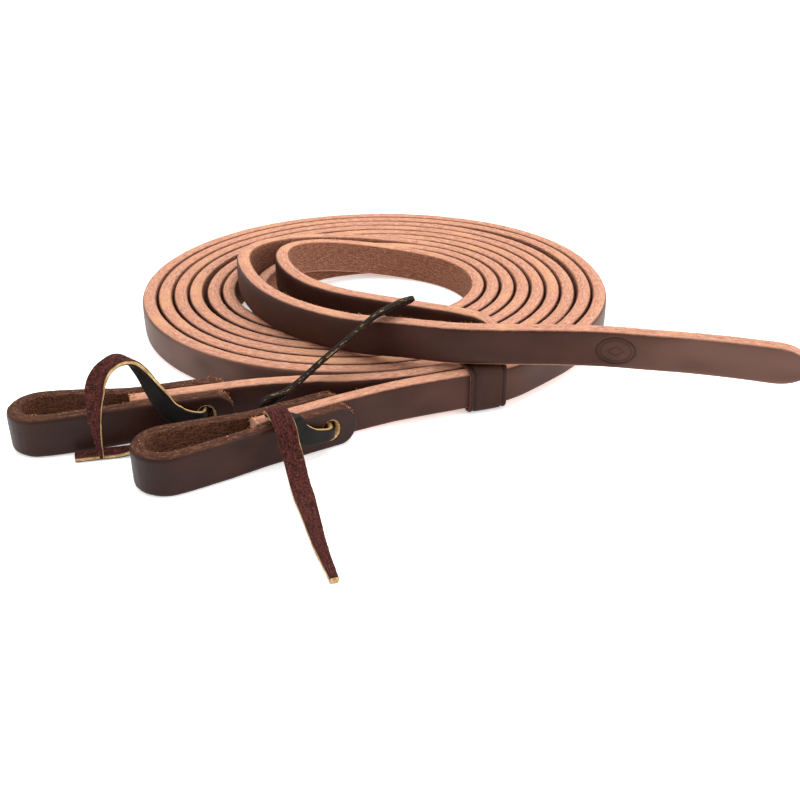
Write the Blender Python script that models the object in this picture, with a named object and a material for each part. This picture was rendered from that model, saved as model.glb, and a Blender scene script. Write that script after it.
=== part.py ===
"""A pair of leather split reins with water-loop bit ends, coiled on edge for display.

Units are metres and +Z is up. The design is laid out round the middle of the coil, on the surface it
stands on, and the finished part is then moved so that the middle of its outline is over the origin.
Each rein is one strap of heavy harness leather. Both straps are wound together, grain side out, into
a double spiral. A short folded strap, the water loop, sandwiches the bit end of each rein, a latigo
lace ties each sandwich, and a keeper band holds the two leads together where they leave the coil.
"""

import math
from collections import namedtuple

import bmesh
import bpy
import numpy as np
from mathutils import Vector

# Straps, which stand on edge
STRAP_WIDTH = 0.0159
STRAP_THICKNESS = 0.0065
STRAP_BEVEL = 0.0008
TURN_GAP = 0.0006
TAIL_POINT = 0.013

# Coil: the outer face of the outermost turn at angle 0, and how far it is from round
COIL_RADIUS = 0.1114
COIL_OVAL = 0.0020
COIL_SKEW = 0.0013
STATION_ANGLE = 9
LONGEST_STATION = 0.017
COIL_START = -45
FRONT_COIL_END = 1287
REAR_COIL_END = 1638
CLIMB_ANGLE = 147
STACK_GAP = 0.0004

# Where turns are pressed in or spring out: the running angles it holds for, the angle of its
# middle, how far it spreads, and how far the turns move inward there
Slack = namedtuple("Slack", "first last middle spread inward")
SLACKS = (
    Slack(-180, 180, 35, 30, -0.0022),
    Slack(180, 9000, -80, 40, 0.0025),
    Slack(720, 9000, 160, 45, 0.0017),
    Slack(1440, 9000, 190, 50, 0.0030),
)

# Water loops
LOOP_THICKNESS = 0.0052
REIN_END_FROM_HOLE = 0.027
TAB_END_FROM_HOLE = 0.0105
TAB_END_ROUND = 0.006
LAYER_GAP = 0.0003
OPENING_LENGTH = 0.0395
OPENING_WIDTH = 0.0146
OPENING_SWAY = 0.0026
OPENING_BELLY = 0.0006
TAB_SPREAD = 0.0002
NOSE_STEPS = 9
LOOP_STATION = 0.006
HOLE_DIAMETER = 0.0064
HOLE_SIDES = 20

# Keeper band
KEEPER_LENGTH = 0.016
KEEPER_THICKNESS = 0.0013
KEEPER_CLEARANCE = 0.0003
KEEPER_BEVEL = 0.0004
KEEPER_OFF_GROUND = 0.0002
KEEPER_STRETCH = 0.036
KEEPER_STRETCH_STEPS = 3
KEEPER_REST = 0.027

# Tie laces: flat, but rolled narrow where they pass through the holes
LACE_WIDTH = 0.0074
LACE_THICKNESS = 0.0023
LACE_BEVEL = 0.0004
PAIR_OFFSET = 0.00142
LACE_STATION = 0.005
LACE_GAP = 0.0004
LACE_OFF_GROUND = 0.0001

PITCH = STRAP_THICKNESS + TURN_GAP
KEEPER_LIFT = KEEPER_THICKNESS + KEEPER_CLEARANCE + KEEPER_OFF_GROUND
STACK_HEIGHT = STRAP_WIDTH + STACK_GAP
TAIL_HEIGHT = STRAP_WIDTH + 2 * KEEPER_LIFT + STACK_GAP
SANDWICH_HALF = STRAP_THICKNESS / 2 + LAYER_GAP + LOOP_THICKNESS
TAB_OFFSET = SANDWICH_HALF - LOOP_THICKNESS / 2
MIDDLE = STRAP_WIDTH / 2
SANDWICH_MIDDLE = -REIN_END_FROM_HOLE / 2
LACE_FACE = SANDWICH_HALF + LACE_GAP + LACE_THICKNESS / 2
LACE_TOP = STRAP_WIDTH + LACE_GAP + LACE_THICKNESS / 2
LACE_GROUND = LACE_THICKNESS / 2 + LACE_OFF_GROUND
LACE_CORNER_OUT = SANDWICH_HALF + 0.7 * LACE_THICKNESS
LACE_CORNER_UP = STRAP_WIDTH + 0.45 * LACE_THICKNESS

# A place on the ground plan and a heading in degrees, for a loop's holes and for the keeper's stretch
Place = namedtuple("Place", "x y heading")


def on_rim(angle, inward):
    """The ground-plan point at this angle of the coil, this far inside its outermost turn's outer face."""
    turn = math.radians(angle)
    return (COIL_RADIUS - inward) * math.cos(turn), (COIL_RADIUS - inward) * math.sin(turn)


KEEPER_START = Place(*on_rim(-77.4033, 0.0022731), 20)


def from_keeper(x, y):
    """The ground-plan point this far from the start of the keeper's stretch."""
    return KEEPER_START.x + x, KEEPER_START.y + y


FRONT_HOLE = Place(*from_keeper(-0.0382, -0.0160), 31)
REAR_HOLE = Place(*from_keeper(-0.0846, -0.0038), 16.5)

# Free stretches of the straps on the ground plan, each from its bit end on
FRONT_LEAD = (from_keeper(-0.0190, -0.0061), from_keeper(-0.0098, -0.0031))
REAR_LEAD = (
    from_keeper(-0.0618, 0.0018),
    from_keeper(-0.0458, 0.0029),
    from_keeper(-0.0288, 0.0028),
    from_keeper(-0.0138, 0.0041),
)
FRONT_TAIL = (
    (-0.0505, -0.0365),
    (-0.0425, -0.0490),
    (-0.0328, -0.0604),
    (-0.0153, -0.0735),
    (0.0006, -0.0836),
    (0.0164, -0.0906),
    (0.0355, -0.0958),
    (0.0548, -0.0972),
    (0.0740, -0.0976),
    (0.0927, -0.0988),
    (0.1115, -0.1023),
    (0.1298, -0.1058),
    (0.1474, -0.1106),
    (0.1590, -0.1144),
    (0.1690, -0.1178),
)
REAR_TAIL = (
    (-0.0360, -0.0240),
    (-0.0300, -0.0345),
    (-0.0205, -0.0440),
    (-0.0087, -0.0519),
    (0.0169, -0.0629),
    (0.0374, -0.0714),
    (0.0493, -0.0775),
    (0.0558, -0.0815),
)
TAIL_CLIMB = (-0.015, 0.022)

HARNESS_LEATHER = ("harness_leather", (0.135, 0.062, 0.045, 1), 0.42)
LOOP_LEATHER = ("oiled_harness_leather", (0.095, 0.040, 0.030, 1), 0.40)
KEEPER_LEATHER = ("keeper_leather", (0.110, 0.048, 0.036, 1), 0.45)
LATIGO_LEATHER = ("latigo_leather", (0.040, 0.022, 0.018, 1), 0.38)


def clear_scene():
    for obj in list(bpy.data.objects):
        bpy.data.objects.remove(obj, do_unlink=True)


def leather(name, colour, roughness):
    """A Principled BSDF material, made once for all the parts that share it."""
    material = bpy.data.materials.get(name)
    if material is None:
        material = bpy.data.materials.new(name)
        material.use_nodes = True
        shader = material.node_tree.nodes["Principled BSDF"]
        shader.inputs["Base Color"].default_value = colour
        shader.inputs["Roughness"].default_value = roughness
        shader.inputs["Metallic"].default_value = 0
    return material


def eased(value, start, end):
    """0 up to start, 1 from end on, and a smooth climb between them."""
    share = min(max((value - start) / (end - start), 0), 1)
    return share * share * (3 - 2 * share)


def at(place, along, across=0.0):
    """The ground-plan point this far along the place's heading, and this far to its left."""
    turn = math.radians(place.heading)
    return (
        place.x + along * math.cos(turn) - across * math.sin(turn),
        place.y + along * math.sin(turn) + across * math.cos(turn),
    )


def smooth(points, longest):
    """The points with more between them on a centripetal Catmull-Rom curve, none further apart than longest.

    The first three columns are a place, and any others are carried along.
    """
    points = np.array(points, float)
    ends = 2 * points[[0, -1]] - points[[1, -2]]
    padded = np.vstack([ends[:1], points, ends[1:]])
    filled = []
    for before, start, end, after in zip(padded, padded[1:], padded[2:], padded[3:]):
        gaps = [math.dist(a[:3], b[:3]) ** 0.5 for a, b in ((before, start), (start, end), (end, after))]
        t0, t1 = 0.0, gaps[0]
        t2 = t1 + gaps[1]
        t3 = t2 + gaps[2]
        steps = max(1, math.ceil(math.dist(start[:3], end[:3]) / longest))
        for t in np.linspace(t1, t2, steps, endpoint=False):
            a1 = (t1 - t) / (t1 - t0) * before + (t - t0) / (t1 - t0) * start
            a2 = (t2 - t) / (t2 - t1) * start + (t - t1) / (t2 - t1) * end
            a3 = (t3 - t) / (t3 - t2) * end + (t - t2) / (t3 - t2) * after
            b1 = (t2 - t) / (t2 - t0) * a1 + (t - t0) / (t2 - t0) * a2
            b2 = (t3 - t) / (t3 - t1) * a2 + (t - t1) / (t3 - t1) * a3
            filled.append((t2 - t) / (t2 - t1) * b1 + (t - t1) / (t2 - t1) * b2)
    filled.append(points[-1])
    return np.array(filled)


def with_round_ends(route, start_round, end_round):
    """The route with stations added towards its ends, and each station's share of the full width."""
    travelled = np.append(0, np.cumsum(np.linalg.norm(np.diff(route[:, :3], axis=0), axis=1)))
    length = travelled[-1]
    curve = 1 - np.cos(np.radians((12, 30, 48, 66, 90)))
    extra = [start_round * share for share in curve if start_round]
    extra += [length - end_round * share for share in curve if end_round]
    keep = (travelled > start_round * 1.05) & (travelled < length - end_round * 1.05)
    keep[0] = keep[-1] = True
    marks = np.sort(np.append(travelled[keep], extra))
    route = np.column_stack([np.interp(marks, travelled, column) for column in route.T])
    shares = np.ones(len(marks))
    for distance, rounded in ((marks, start_round), (length - marks, end_round)):
        if rounded:
            reach = np.clip(1 - distance / rounded, 0, 0.97)
            shares = np.minimum(shares, np.sqrt(1 - reach**2))
    return route, shares


def section(width, thickness, bevel):
    """Corners of a bevelled rectangle, width along its first axis and thickness along its second."""
    bevel = min(bevel, 0.3 * width, 0.3 * thickness)
    half_width, half_thickness = width / 2, thickness / 2
    corners = []
    for across, through in ((1, 1), (-1, 1), (-1, -1), (1, -1)):
        near = (across * (half_width - bevel), through * half_thickness)
        far = (across * half_width, through * (half_thickness - bevel))
        corners += [far, near] if across * through > 0 else [near, far]
    return corners


def sweep(name, centres, faces, widths, thicknesses, bevel, finish):
    """A flat band as one closed mesh object.

    Args:
        centres: the middle of its section at each station.
        faces: the direction that its flat face looks in there.
        widths, thicknesses: its section's sizes there.
        bevel: the size of the flats on its four long edges.
        finish: its material's name, colour and roughness.
    """
    bm = bmesh.new()
    rings = []
    last = len(centres) - 1
    for i, centre in enumerate(centres):
        along = Vector(centres[min(i + 1, last)]) - Vector(centres[max(i - 1, 0)])
        along.normalize()
        through = Vector(faces[i])
        through -= along * through.dot(along)
        through.normalize()
        across = through.cross(along)
        rings.append(
            [
                bm.verts.new(Vector(centre) + across * u + through * v)
                for u, v in section(widths[i], thicknesses[i], bevel)
            ]
        )
    for ring, following in zip(rings, rings[1:]):
        bmesh.ops.bridge_loops(
            bm,
            edges=[
                bm.edges.get((a, b)) or bm.edges.new((a, b))
                for corners in (ring, following)
                for a, b in zip(corners, corners[1:] + corners[:1])
            ],
        )
    bm.faces.new(rings[0])
    bm.faces.new(rings[-1])
    bmesh.ops.recalc_face_normals(bm, faces=bm.faces)
    mesh = bpy.data.meshes.new(name)
    bm.to_mesh(mesh)
    bm.free()
    mesh.shade_smooth()
    mesh.set_sharp_from_angle(angle=math.radians(30))
    mesh.materials.append(leather(*finish))
    obj = bpy.data.objects.new(name, mesh)
    bpy.context.scene.collection.objects.link(obj)
    return obj


def slack_at(angle):
    """How far the turns are pressed in at this running angle, in degrees."""
    inward = 0.0
    for slack in SLACKS:
        if slack.first <= angle < slack.last:
            away = (angle - slack.middle + 180) % 360 - 180
            inward += slack.inward * math.exp(-((away / slack.spread) ** 2))
    return inward


def coil_point(angle, layer, height):
    """Middle of a strap's thickness in the coil, with the height of its lower edge.

    Layer 0 is the front rein and layer 1 the rear rein, one pitch inside it. The front rein leaves
    after its last turn, and then the rear rein's turns close up by one pitch.
    """
    turn = math.radians(angle)
    radius = COIL_RADIUS - STRAP_THICKNESS / 2 - PITCH * (2 * angle / 360 + layer)
    radius += PITCH * eased(angle, FRONT_COIL_END - 27, FRONT_COIL_END + 153)
    radius += COIL_OVAL * math.cos(2 * turn) + COIL_SKEW * math.sin(2 * turn)
    radius -= slack_at(angle)
    return (radius * math.cos(turn), radius * math.sin(turn), height)


def coil(layer, end):
    """The rein's coiled stretch: lifted where the keeper passes under it, and climbing at its end."""
    points = []
    for angle in range(COIL_START, end + 1, STATION_ANGLE):
        height = KEEPER_LIFT * (1 - eased(angle, COIL_START, COIL_START + 60))
        height += STACK_HEIGHT * eased(angle, end - CLIMB_ANGLE, end)
        points.append(coil_point(angle, layer, height))
    return points


def keeper_stretch(layer):
    """The rein's straight stretch that the keeper slides on."""
    steps = range(KEEPER_STRETCH_STEPS + 1)
    reach = [KEEPER_STRETCH * step / KEEPER_STRETCH_STEPS for step in steps]
    return [(*at(KEEPER_START, along, PITCH * layer), KEEPER_LIFT) for along in reach]


def sandwich_stretch(hole):
    """The rein's straight stretch between the two tabs of its water loop."""
    stations = (-REIN_END_FROM_HOLE, SANDWICH_MIDDLE, 0.0, TAB_END_FROM_HOLE)
    return [(*at(hole, along), 0.0) for along in stations]


def lead(points):
    """The free stretch from the water loop to the keeper, with the height that it climbs to."""
    steps = len(points) + 1
    return [(x, y, KEEPER_LIFT * eased(i + 1, 0, steps)) for i, (x, y) in enumerate(points)]


def tail_height(x):
    return STACK_HEIGHT + (TAIL_HEIGHT - STACK_HEIGHT) * eased(x, *TAIL_CLIMB)


def rein_strap(name, points, hole):
    """A rein, on edge along a route of ground-plan points that carry the height of its lower edge."""
    route, shares = with_round_ends(smooth(points, LONGEST_STATION), 0, TAIL_POINT)
    centres = route + (0, 0, STRAP_WIDTH / 2)
    along = np.gradient(route, axis=0)
    faces = np.column_stack([along[:, 1], -along[:, 0], np.zeros(len(route))])
    strap = sweep(
        name,
        centres,
        faces,
        STRAP_WIDTH * shares,
        np.full(len(route), STRAP_THICKNESS),
        STRAP_BEVEL,
        HARNESS_LEATHER,
    )
    punch(strap, hole)
    return strap


def punch(strap, hole):
    """Cuts the round lace hole through a strap, square to the sandwich and half way up."""
    bpy.ops.mesh.primitive_cylinder_add(
        vertices=HOLE_SIDES,
        radius=HOLE_DIAMETER / 2,
        depth=4 * SANDWICH_HALF,
        location=(hole.x, hole.y, STRAP_WIDTH / 2),
        rotation=(math.radians(90), 0, math.radians(hole.heading)),
    )
    cutter = bpy.context.object
    cutter.name = f"{strap.name}_hole_cutter"
    cutter.hide_render = True
    cutter.display_type = "WIRE"
    cut = strap.modifiers.new("lace_hole", "BOOLEAN")
    cut.operation = "DIFFERENCE"
    cut.object = cutter


def water_loop(name, hole):
    """A short strap folded round into a loop, its two ends lying on the faces of the rein's end."""
    half = (OPENING_WIDTH + LOOP_THICKNESS) / 2
    nose = -REIN_END_FROM_HOLE - OPENING_LENGTH + OPENING_WIDTH / 2
    tab = [(along, TAB_OFFSET) for along in (TAB_END_FROM_HOLE, 0.0, SANDWICH_MIDDLE)]
    tab.append((-REIN_END_FROM_HOLE, TAB_OFFSET + TAB_SPREAD))
    flare = (-REIN_END_FROM_HOLE + nose) / 2
    near = [(along, -across) for along, across in tab]
    belly = (TAB_OFFSET + half) / 2 + OPENING_BELLY
    near.append((flare, -belly + OPENING_SWAY / 2))
    far = [(flare, belly + OPENING_SWAY / 2), *reversed(tab)]
    bend = []
    for step in range(NOSE_STEPS):
        turn = math.radians(270 - 180 * step / (NOSE_STEPS - 1))
        bend.append((nose + half * math.cos(turn), OPENING_SWAY + half * math.sin(turn)))
    plan = [(*at(hole, along, across), 0.0) for along, across in near + bend + far]
    route, shares = with_round_ends(smooth(plan, LOOP_STATION), TAB_END_ROUND, TAB_END_ROUND)
    along = np.gradient(route, axis=0)
    faces = np.column_stack([along[:, 1], -along[:, 0], np.zeros(len(route))])
    loop = sweep(
        name,
        route + (0, 0, STRAP_WIDTH / 2),
        faces,
        STRAP_WIDTH * shares,
        np.full(len(route), LOOP_THICKNESS),
        STRAP_BEVEL,
        LOOP_LEATHER,
    )
    punch(loop, hole)
    return loop


def keeper_band():
    """A closed band round both leads, with its origin in the middle of what it slides on."""
    wall = KEEPER_CLEARANCE + KEEPER_THICKNESS
    middle = at(KEEPER_START, KEEPER_REST, PITCH / 2)
    inner = (2 * STRAP_THICKNESS + TURN_GAP + 2 * KEEPER_CLEARANCE, STRAP_WIDTH + 2 * KEEPER_CLEARANCE)
    outer = (inner[0] + 2 * KEEPER_THICKNESS, inner[1] + 2 * KEEPER_THICKNESS)
    bm = bmesh.new()
    rings = []
    for sizes, bevel in ((outer, 2 * KEEPER_BEVEL), (inner, KEEPER_BEVEL)):
        for end in (-KEEPER_LENGTH / 2, KEEPER_LENGTH / 2):
            rings.append([bm.verts.new((end, v, u)) for v, u in section(*sizes, bevel)])
    for first, second in ((0, 1), (1, 3), (3, 2), (2, 0)):
        for i in range(len(rings[0])):
            j = (i + 1) % len(rings[0])
            bm.faces.new((rings[first][i], rings[first][j], rings[second][j], rings[second][i]))
    bmesh.ops.recalc_face_normals(bm, faces=bm.faces)
    mesh = bpy.data.meshes.new("keeper_band")
    bm.to_mesh(mesh)
    bm.free()
    mesh.materials.append(leather(*KEEPER_LEATHER))
    band = bpy.data.objects.new("keeper_band", mesh)
    band.location = (*middle, KEEPER_LIFT - wall + outer[1] / 2)
    band.rotation_euler = (0, 0, math.radians(KEEPER_START.heading))
    bpy.context.scene.collection.objects.link(band)


def tie_lace(name, hole, points, rolled_size, start, end):
    """A lace along local points: along and across the sandwich, height, rolled share, and facing.

    Args:
        rolled_size: the width and thickness it is rolled to in the holes.
        start, end: how far it tapers towards that end, and its share of the full width there.
    """
    route = []
    for along, across, height, rolled, face_along, face_across, face_up in points:
        facing = at(Place(0, 0, hole.heading), face_along, face_across)
        route.append((*at(hole, along, across), height, rolled, *facing, face_up))
    route = smooth(route, LACE_STATION)
    travelled = np.append(0, np.cumsum(np.linalg.norm(np.diff(route[:, :3], axis=0), axis=1)))
    rolled = np.clip(route[:, 3], 0, 1)
    widths = LACE_WIDTH + (rolled_size[0] - LACE_WIDTH) * rolled
    for distance, (taper, tip) in ((travelled, start), (travelled[-1] - travelled, end)):
        widths *= np.clip(tip + (1 - tip) * distance / taper, 0, 1)
    thicknesses = LACE_THICKNESS + (rolled_size[1] - LACE_THICKNESS) * rolled
    sweep(name, route[:, :3], route[:, 4:], widths, thicknesses, LACE_BEVEL, LATIGO_LEATHER)


def through_holes(side, height):
    """Local points from one face of the sandwich (-1 near, 1 far) through the holes to the other."""
    inside = LACE_FACE - 0.0026
    return (
        (-0.0014, side * (LACE_FACE + 0.0002), height, 1, 0.8, side * 0.6, 0),
        (0.0, side * inside, height, 1, 1, side * 0.1, 0),
        (0.0, 0.0, height, 1, 1, 0, 0),
        (0.0, -side * inside, height, 1, 1, -side * 0.1, 0),
        (-0.0014, -side * (LACE_FACE + 0.0002), height, 1, 0.8, -side * 0.6, 0),
    )


def front_lace():
    """From the tip on the ground, folded over the sandwich, through the holes and up onto the front tail."""
    near, far = -SANDWICH_HALF, SANDWICH_HALF
    over_tail = TAIL_HEIGHT + STRAP_WIDTH + LACE_WIDTH * 0.37
    edge_on = (-0.39, 0.56, 0.68)
    tie_lace(
        "tie_lace_front",
        FRONT_HOLE,
        (
            (-0.0363, near - 0.07095, LACE_GROUND, 0, 0, 0, -1),
            (-0.0322, near - 0.05325, LACE_GROUND, 0, 0, 0, -1),
            (-0.0281, near - 0.03925, LACE_GROUND, 0, 0, 0, -1),
            (-0.0250, near - 0.02825, LACE_GROUND + 0.0003, 0, 0, 0.1, -1),
            (-0.0228, near - 0.01925, LACE_GROUND + 0.0022, 0, 0, 0.5, -1),
            (-0.0212, near - 0.01245, LACE_GROUND + 0.0066, 0, 0, 1, -0.6),
            (-0.0207, near - 0.00825, MIDDLE + 0.0040, 0, 0, 1, -0.2),
            (-0.0206, near - 0.00545, LACE_TOP, 0, 0, 0.9, -0.5),
            (-0.0205, -0.0100, LACE_TOP + 0.0026, 0, 0, 0.2, -1),
            (-0.0204, -0.0050, LACE_TOP + 0.0030, 0, 0, 0, -1),
            (-0.0200, -0.0022, LACE_TOP + 0.0015, 0, 0, -1, 0),
            (-0.0190, -0.0048, LACE_TOP, 0, 0, 0, 1),
            (-0.0172, -SANDWICH_HALF + 0.0006, LACE_TOP, 0, 0, -0.2, 1),
            (-0.0158, -LACE_CORNER_OUT - 0.0002, LACE_CORNER_UP - 0.0004, 0, 0, -0.8, 0.6),
            (-0.0138, -LACE_FACE - 0.0008, MIDDLE + 0.0046, 0, 0, -1, 0),
            (-0.0096, -LACE_FACE - 0.0012, MIDDLE + 0.0014, 0.2, 0.1, -1, 0),
            (-0.0052, -LACE_FACE - 0.0008, MIDDLE + 0.0004, 0.7, 0.2, -1, 0),
            *through_holes(-1, MIDDLE),
            (-0.0060, LACE_FACE + 0.0008, MIDDLE + 0.0005, 0.8, 0.2, 1, 0),
            (-0.0110, LACE_FACE + 0.0009, MIDDLE + 0.0018, 0.6, 0, 1, 0),
            (-0.0155, LACE_FACE + 0.0010, MIDDLE + 0.0035, 0.6, -0.1, 1, 0.1),
            (-0.0180, LACE_FACE + 0.0012, MIDDLE + 0.0055, 0.6, -0.2, 0.9, 0.2),
            (-0.0160, LACE_FACE + 0.0016, MIDDLE + 0.0072, 0.5, -0.3, 0.8, 0.4),
            (-0.0092, LACE_FACE + 0.0018, LACE_TOP - 0.0008, 0.3, *edge_on),
            (-0.0021, far + 0.00405, LACE_TOP + 0.0022, 0.1, *edge_on),
            (0.0084, far + 0.00485, LACE_TOP + 0.0080, 0, *edge_on),
            (0.0206, far + 0.00595, LACE_TOP + 0.0140, 0, *edge_on),
            (0.0328, far + 0.00695, over_tail - 0.0010, 0, *edge_on),
            (0.0398, far + 0.00765, over_tail + 0.0006, 0, *edge_on),
            (0.0446, far + 0.00825, over_tail + 0.0014, 0, *edge_on),
            (0.0515, far + 0.00965, over_tail + 0.0012, 0, *edge_on),
        ),
        (0.0042, 0.0028),
        (0.046, 0.4),
        (0.010, 0.5),
    )


def rear_lace():
    """From the end on the ground, through the holes and back, and up and over in an arc."""
    near = -SANDWICH_HALF
    low, high = MIDDLE - PAIR_OFFSET, MIDDLE + PAIR_OFFSET
    tie_lace(
        "tie_lace_rear",
        REAR_HOLE,
        (
            (-0.0490, near - 0.00585, LACE_GROUND, 0, 0, 0, 1),
            (-0.0410, near - 0.00595, LACE_GROUND, 0, 0, 0, 1),
            (-0.0310, near - 0.00635, LACE_GROUND, 0, 0, 0, 1),
            (-0.0225, near - 0.00705, LACE_GROUND + 0.0006, 0, 0.1, -0.15, 1),
            (-0.0160, near - 0.00645, LACE_GROUND + 0.0026, 0, 0.2, -0.6, 0.8),
            (-0.0105, near - 0.00445, low - 0.0018, 0.3, 0.2, -1, 0.3),
            (-0.0055, -LACE_FACE - 0.0006, low - 0.0006, 0.9, 0.3, -1, 0),
            *through_holes(-1, low)[:-1],
            (0.0, LACE_FACE + 0.0004, low + 0.0003, 1, 1, 0, 0),
            (0.0, LACE_FACE + 0.0014, MIDDLE, 1, 1, 0, 0),
            (0.0, LACE_FACE + 0.0004, high - 0.0003, 1, 1, 0, 0),
            *through_holes(1, high)[1:],
            (-0.0055, -LACE_FACE - 0.0006, high + 0.0006, 0.8, 0.3, -1, 0),
            (-0.0100, -LACE_FACE - 0.0012, high + 0.0016, 0.1, 0.1, -1, 0.1),
            (-0.0136, -LACE_FACE - 0.0018, MIDDLE + 0.0062, 0, 0.4, -0.9, 0.2),
            (-0.0163, near - 0.00425, LACE_TOP + 0.0024, 0, 0.7, -0.5, 0.5),
            (-0.0190, near - 0.00515, LACE_TOP + 0.0088, 0, 0.8, -0.2, 0.6),
            (-0.0218, near - 0.00585, LACE_TOP + 0.0152, 0, 0.8, 0, 0.6),
            (-0.0252, near - 0.00655, LACE_TOP + 0.0202, 0, 0.4, 0, 0.9),
            (-0.0293, near - 0.00745, LACE_TOP + 0.0216, 0, -0.2, 0, 1),
            (-0.0336, near - 0.00835, LACE_TOP + 0.0198, 0, -0.6, -0.4, 0.7),
            (-0.0372, near - 0.00905, LACE_TOP + 0.0155, 0, -0.6, -0.8, 0.4),
            (-0.0392, near - 0.00965, LACE_TOP + 0.0085, 0, -0.3, -1, 0.1),
            (-0.0400, near - 0.01025, LACE_TOP, 0, -0.2, -1, 0),
            (-0.0399, near - 0.01185, LACE_TOP - 0.0080, 0, -0.2, -1, 0.1),
            (-0.0394, near - 0.01405, LACE_GROUND + 0.0029, 0, -0.1, -1, 0.2),
        ),
        (0.0025, 0.0024),
        (0.001, 1.0),
        (0.026, 0.15),
    )


def centre_on_origin():
    """Moves every piece and its cutters so that the middle of the part's outline is over the origin."""
    bpy.context.view_layer.update()
    pieces = [obj for obj in bpy.data.objects if not obj.hide_render]
    corners = [obj.matrix_world @ Vector(corner) for obj in pieces for corner in obj.bound_box]
    for axis in (0, 1):
        reach = [corner[axis] for corner in corners]
        for obj in bpy.data.objects:
            obj.location[axis] -= (min(reach) + max(reach)) / 2


def build():
    clear_scene()
    rein_strap(
        "rein_strap_front",
        [
            *sandwich_stretch(FRONT_HOLE),
            *lead(FRONT_LEAD),
            *keeper_stretch(0),
            *coil(0, FRONT_COIL_END),
            *((x, y, tail_height(x)) for x, y in FRONT_TAIL),
        ],
        FRONT_HOLE,
    )
    rein_strap(
        "rein_strap_rear",
        [
            *sandwich_stretch(REAR_HOLE),
            *lead(REAR_LEAD),
            *keeper_stretch(1),
            *coil(1, REAR_COIL_END),
            *((x, y, STACK_HEIGHT) for x, y in REAR_TAIL),
        ],
        REAR_HOLE,
    )
    water_loop("water_loop_front", FRONT_HOLE)
    water_loop("water_loop_rear", REAR_HOLE)
    keeper_band()
    front_lace()
    rear_lace()
    centre_on_origin()


build()
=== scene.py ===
"""A pair of leather split reins, coiled on edge on a white table.

Both reins are straps of heavy harness leather, wound together with the grain side out. Each has a
water loop on its bit end, tied with a latigo lace, and a keeper band holds the two leads together.
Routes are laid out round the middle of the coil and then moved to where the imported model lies.
"""

import logging
import math
from dataclasses import dataclass, field
from enum import Enum
from typing import Any, NamedTuple

import bmesh
import bpy
import numpy as np
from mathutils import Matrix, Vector

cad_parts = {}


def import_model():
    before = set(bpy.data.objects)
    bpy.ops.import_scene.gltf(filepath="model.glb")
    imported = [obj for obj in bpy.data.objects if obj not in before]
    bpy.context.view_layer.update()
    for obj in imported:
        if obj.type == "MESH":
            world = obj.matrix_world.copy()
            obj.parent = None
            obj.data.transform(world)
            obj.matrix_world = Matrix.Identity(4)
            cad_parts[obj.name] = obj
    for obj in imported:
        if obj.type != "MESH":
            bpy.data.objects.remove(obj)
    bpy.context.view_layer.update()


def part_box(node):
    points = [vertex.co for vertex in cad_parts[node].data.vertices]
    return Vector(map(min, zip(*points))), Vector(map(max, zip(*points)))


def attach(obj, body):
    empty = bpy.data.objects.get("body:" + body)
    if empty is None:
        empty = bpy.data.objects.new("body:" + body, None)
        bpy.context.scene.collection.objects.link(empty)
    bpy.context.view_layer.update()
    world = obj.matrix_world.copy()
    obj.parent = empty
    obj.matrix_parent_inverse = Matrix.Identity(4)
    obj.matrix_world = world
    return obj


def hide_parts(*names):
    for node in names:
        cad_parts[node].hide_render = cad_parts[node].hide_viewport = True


LOG = logging.getLogger("split_reins")
REINS_BODY = "reins"
KEEPER_BODY = "keeper"

Row = tuple[float, ...]


class Place(NamedTuple):
    """A place on the ground plan, with a heading in degrees."""

    x: float
    y: float
    heading: float


class Slack(NamedTuple):
    """Where turns are pressed in: the running angles it holds for, its middle, spread and depth."""

    first: float
    last: float
    middle: float
    spread: float
    inward: float


class Side(Enum):
    """The sides of a piece of leather that a finish tells apart."""

    GRAIN = "grain"
    FLESH = "flesh"
    RAW = "raw"
    # Darker marks: real dirt and wear, and painted shade in pressed and creased grooves
    RUBBED_AND_SHADE = "rubbed_and_shade"
    # Paler grain: wear, and painted sheen on the front rein's tail
    WORN_AND_SHEEN = "worn_and_sheen"


FRONT_HOLE = Place(-0.0144, -0.1225, 31)
REAR_HOLE = Place(-0.0608, -0.1103, 16.5)
KEEPER_START = Place(0.0238, -0.1065, 20)


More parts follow.
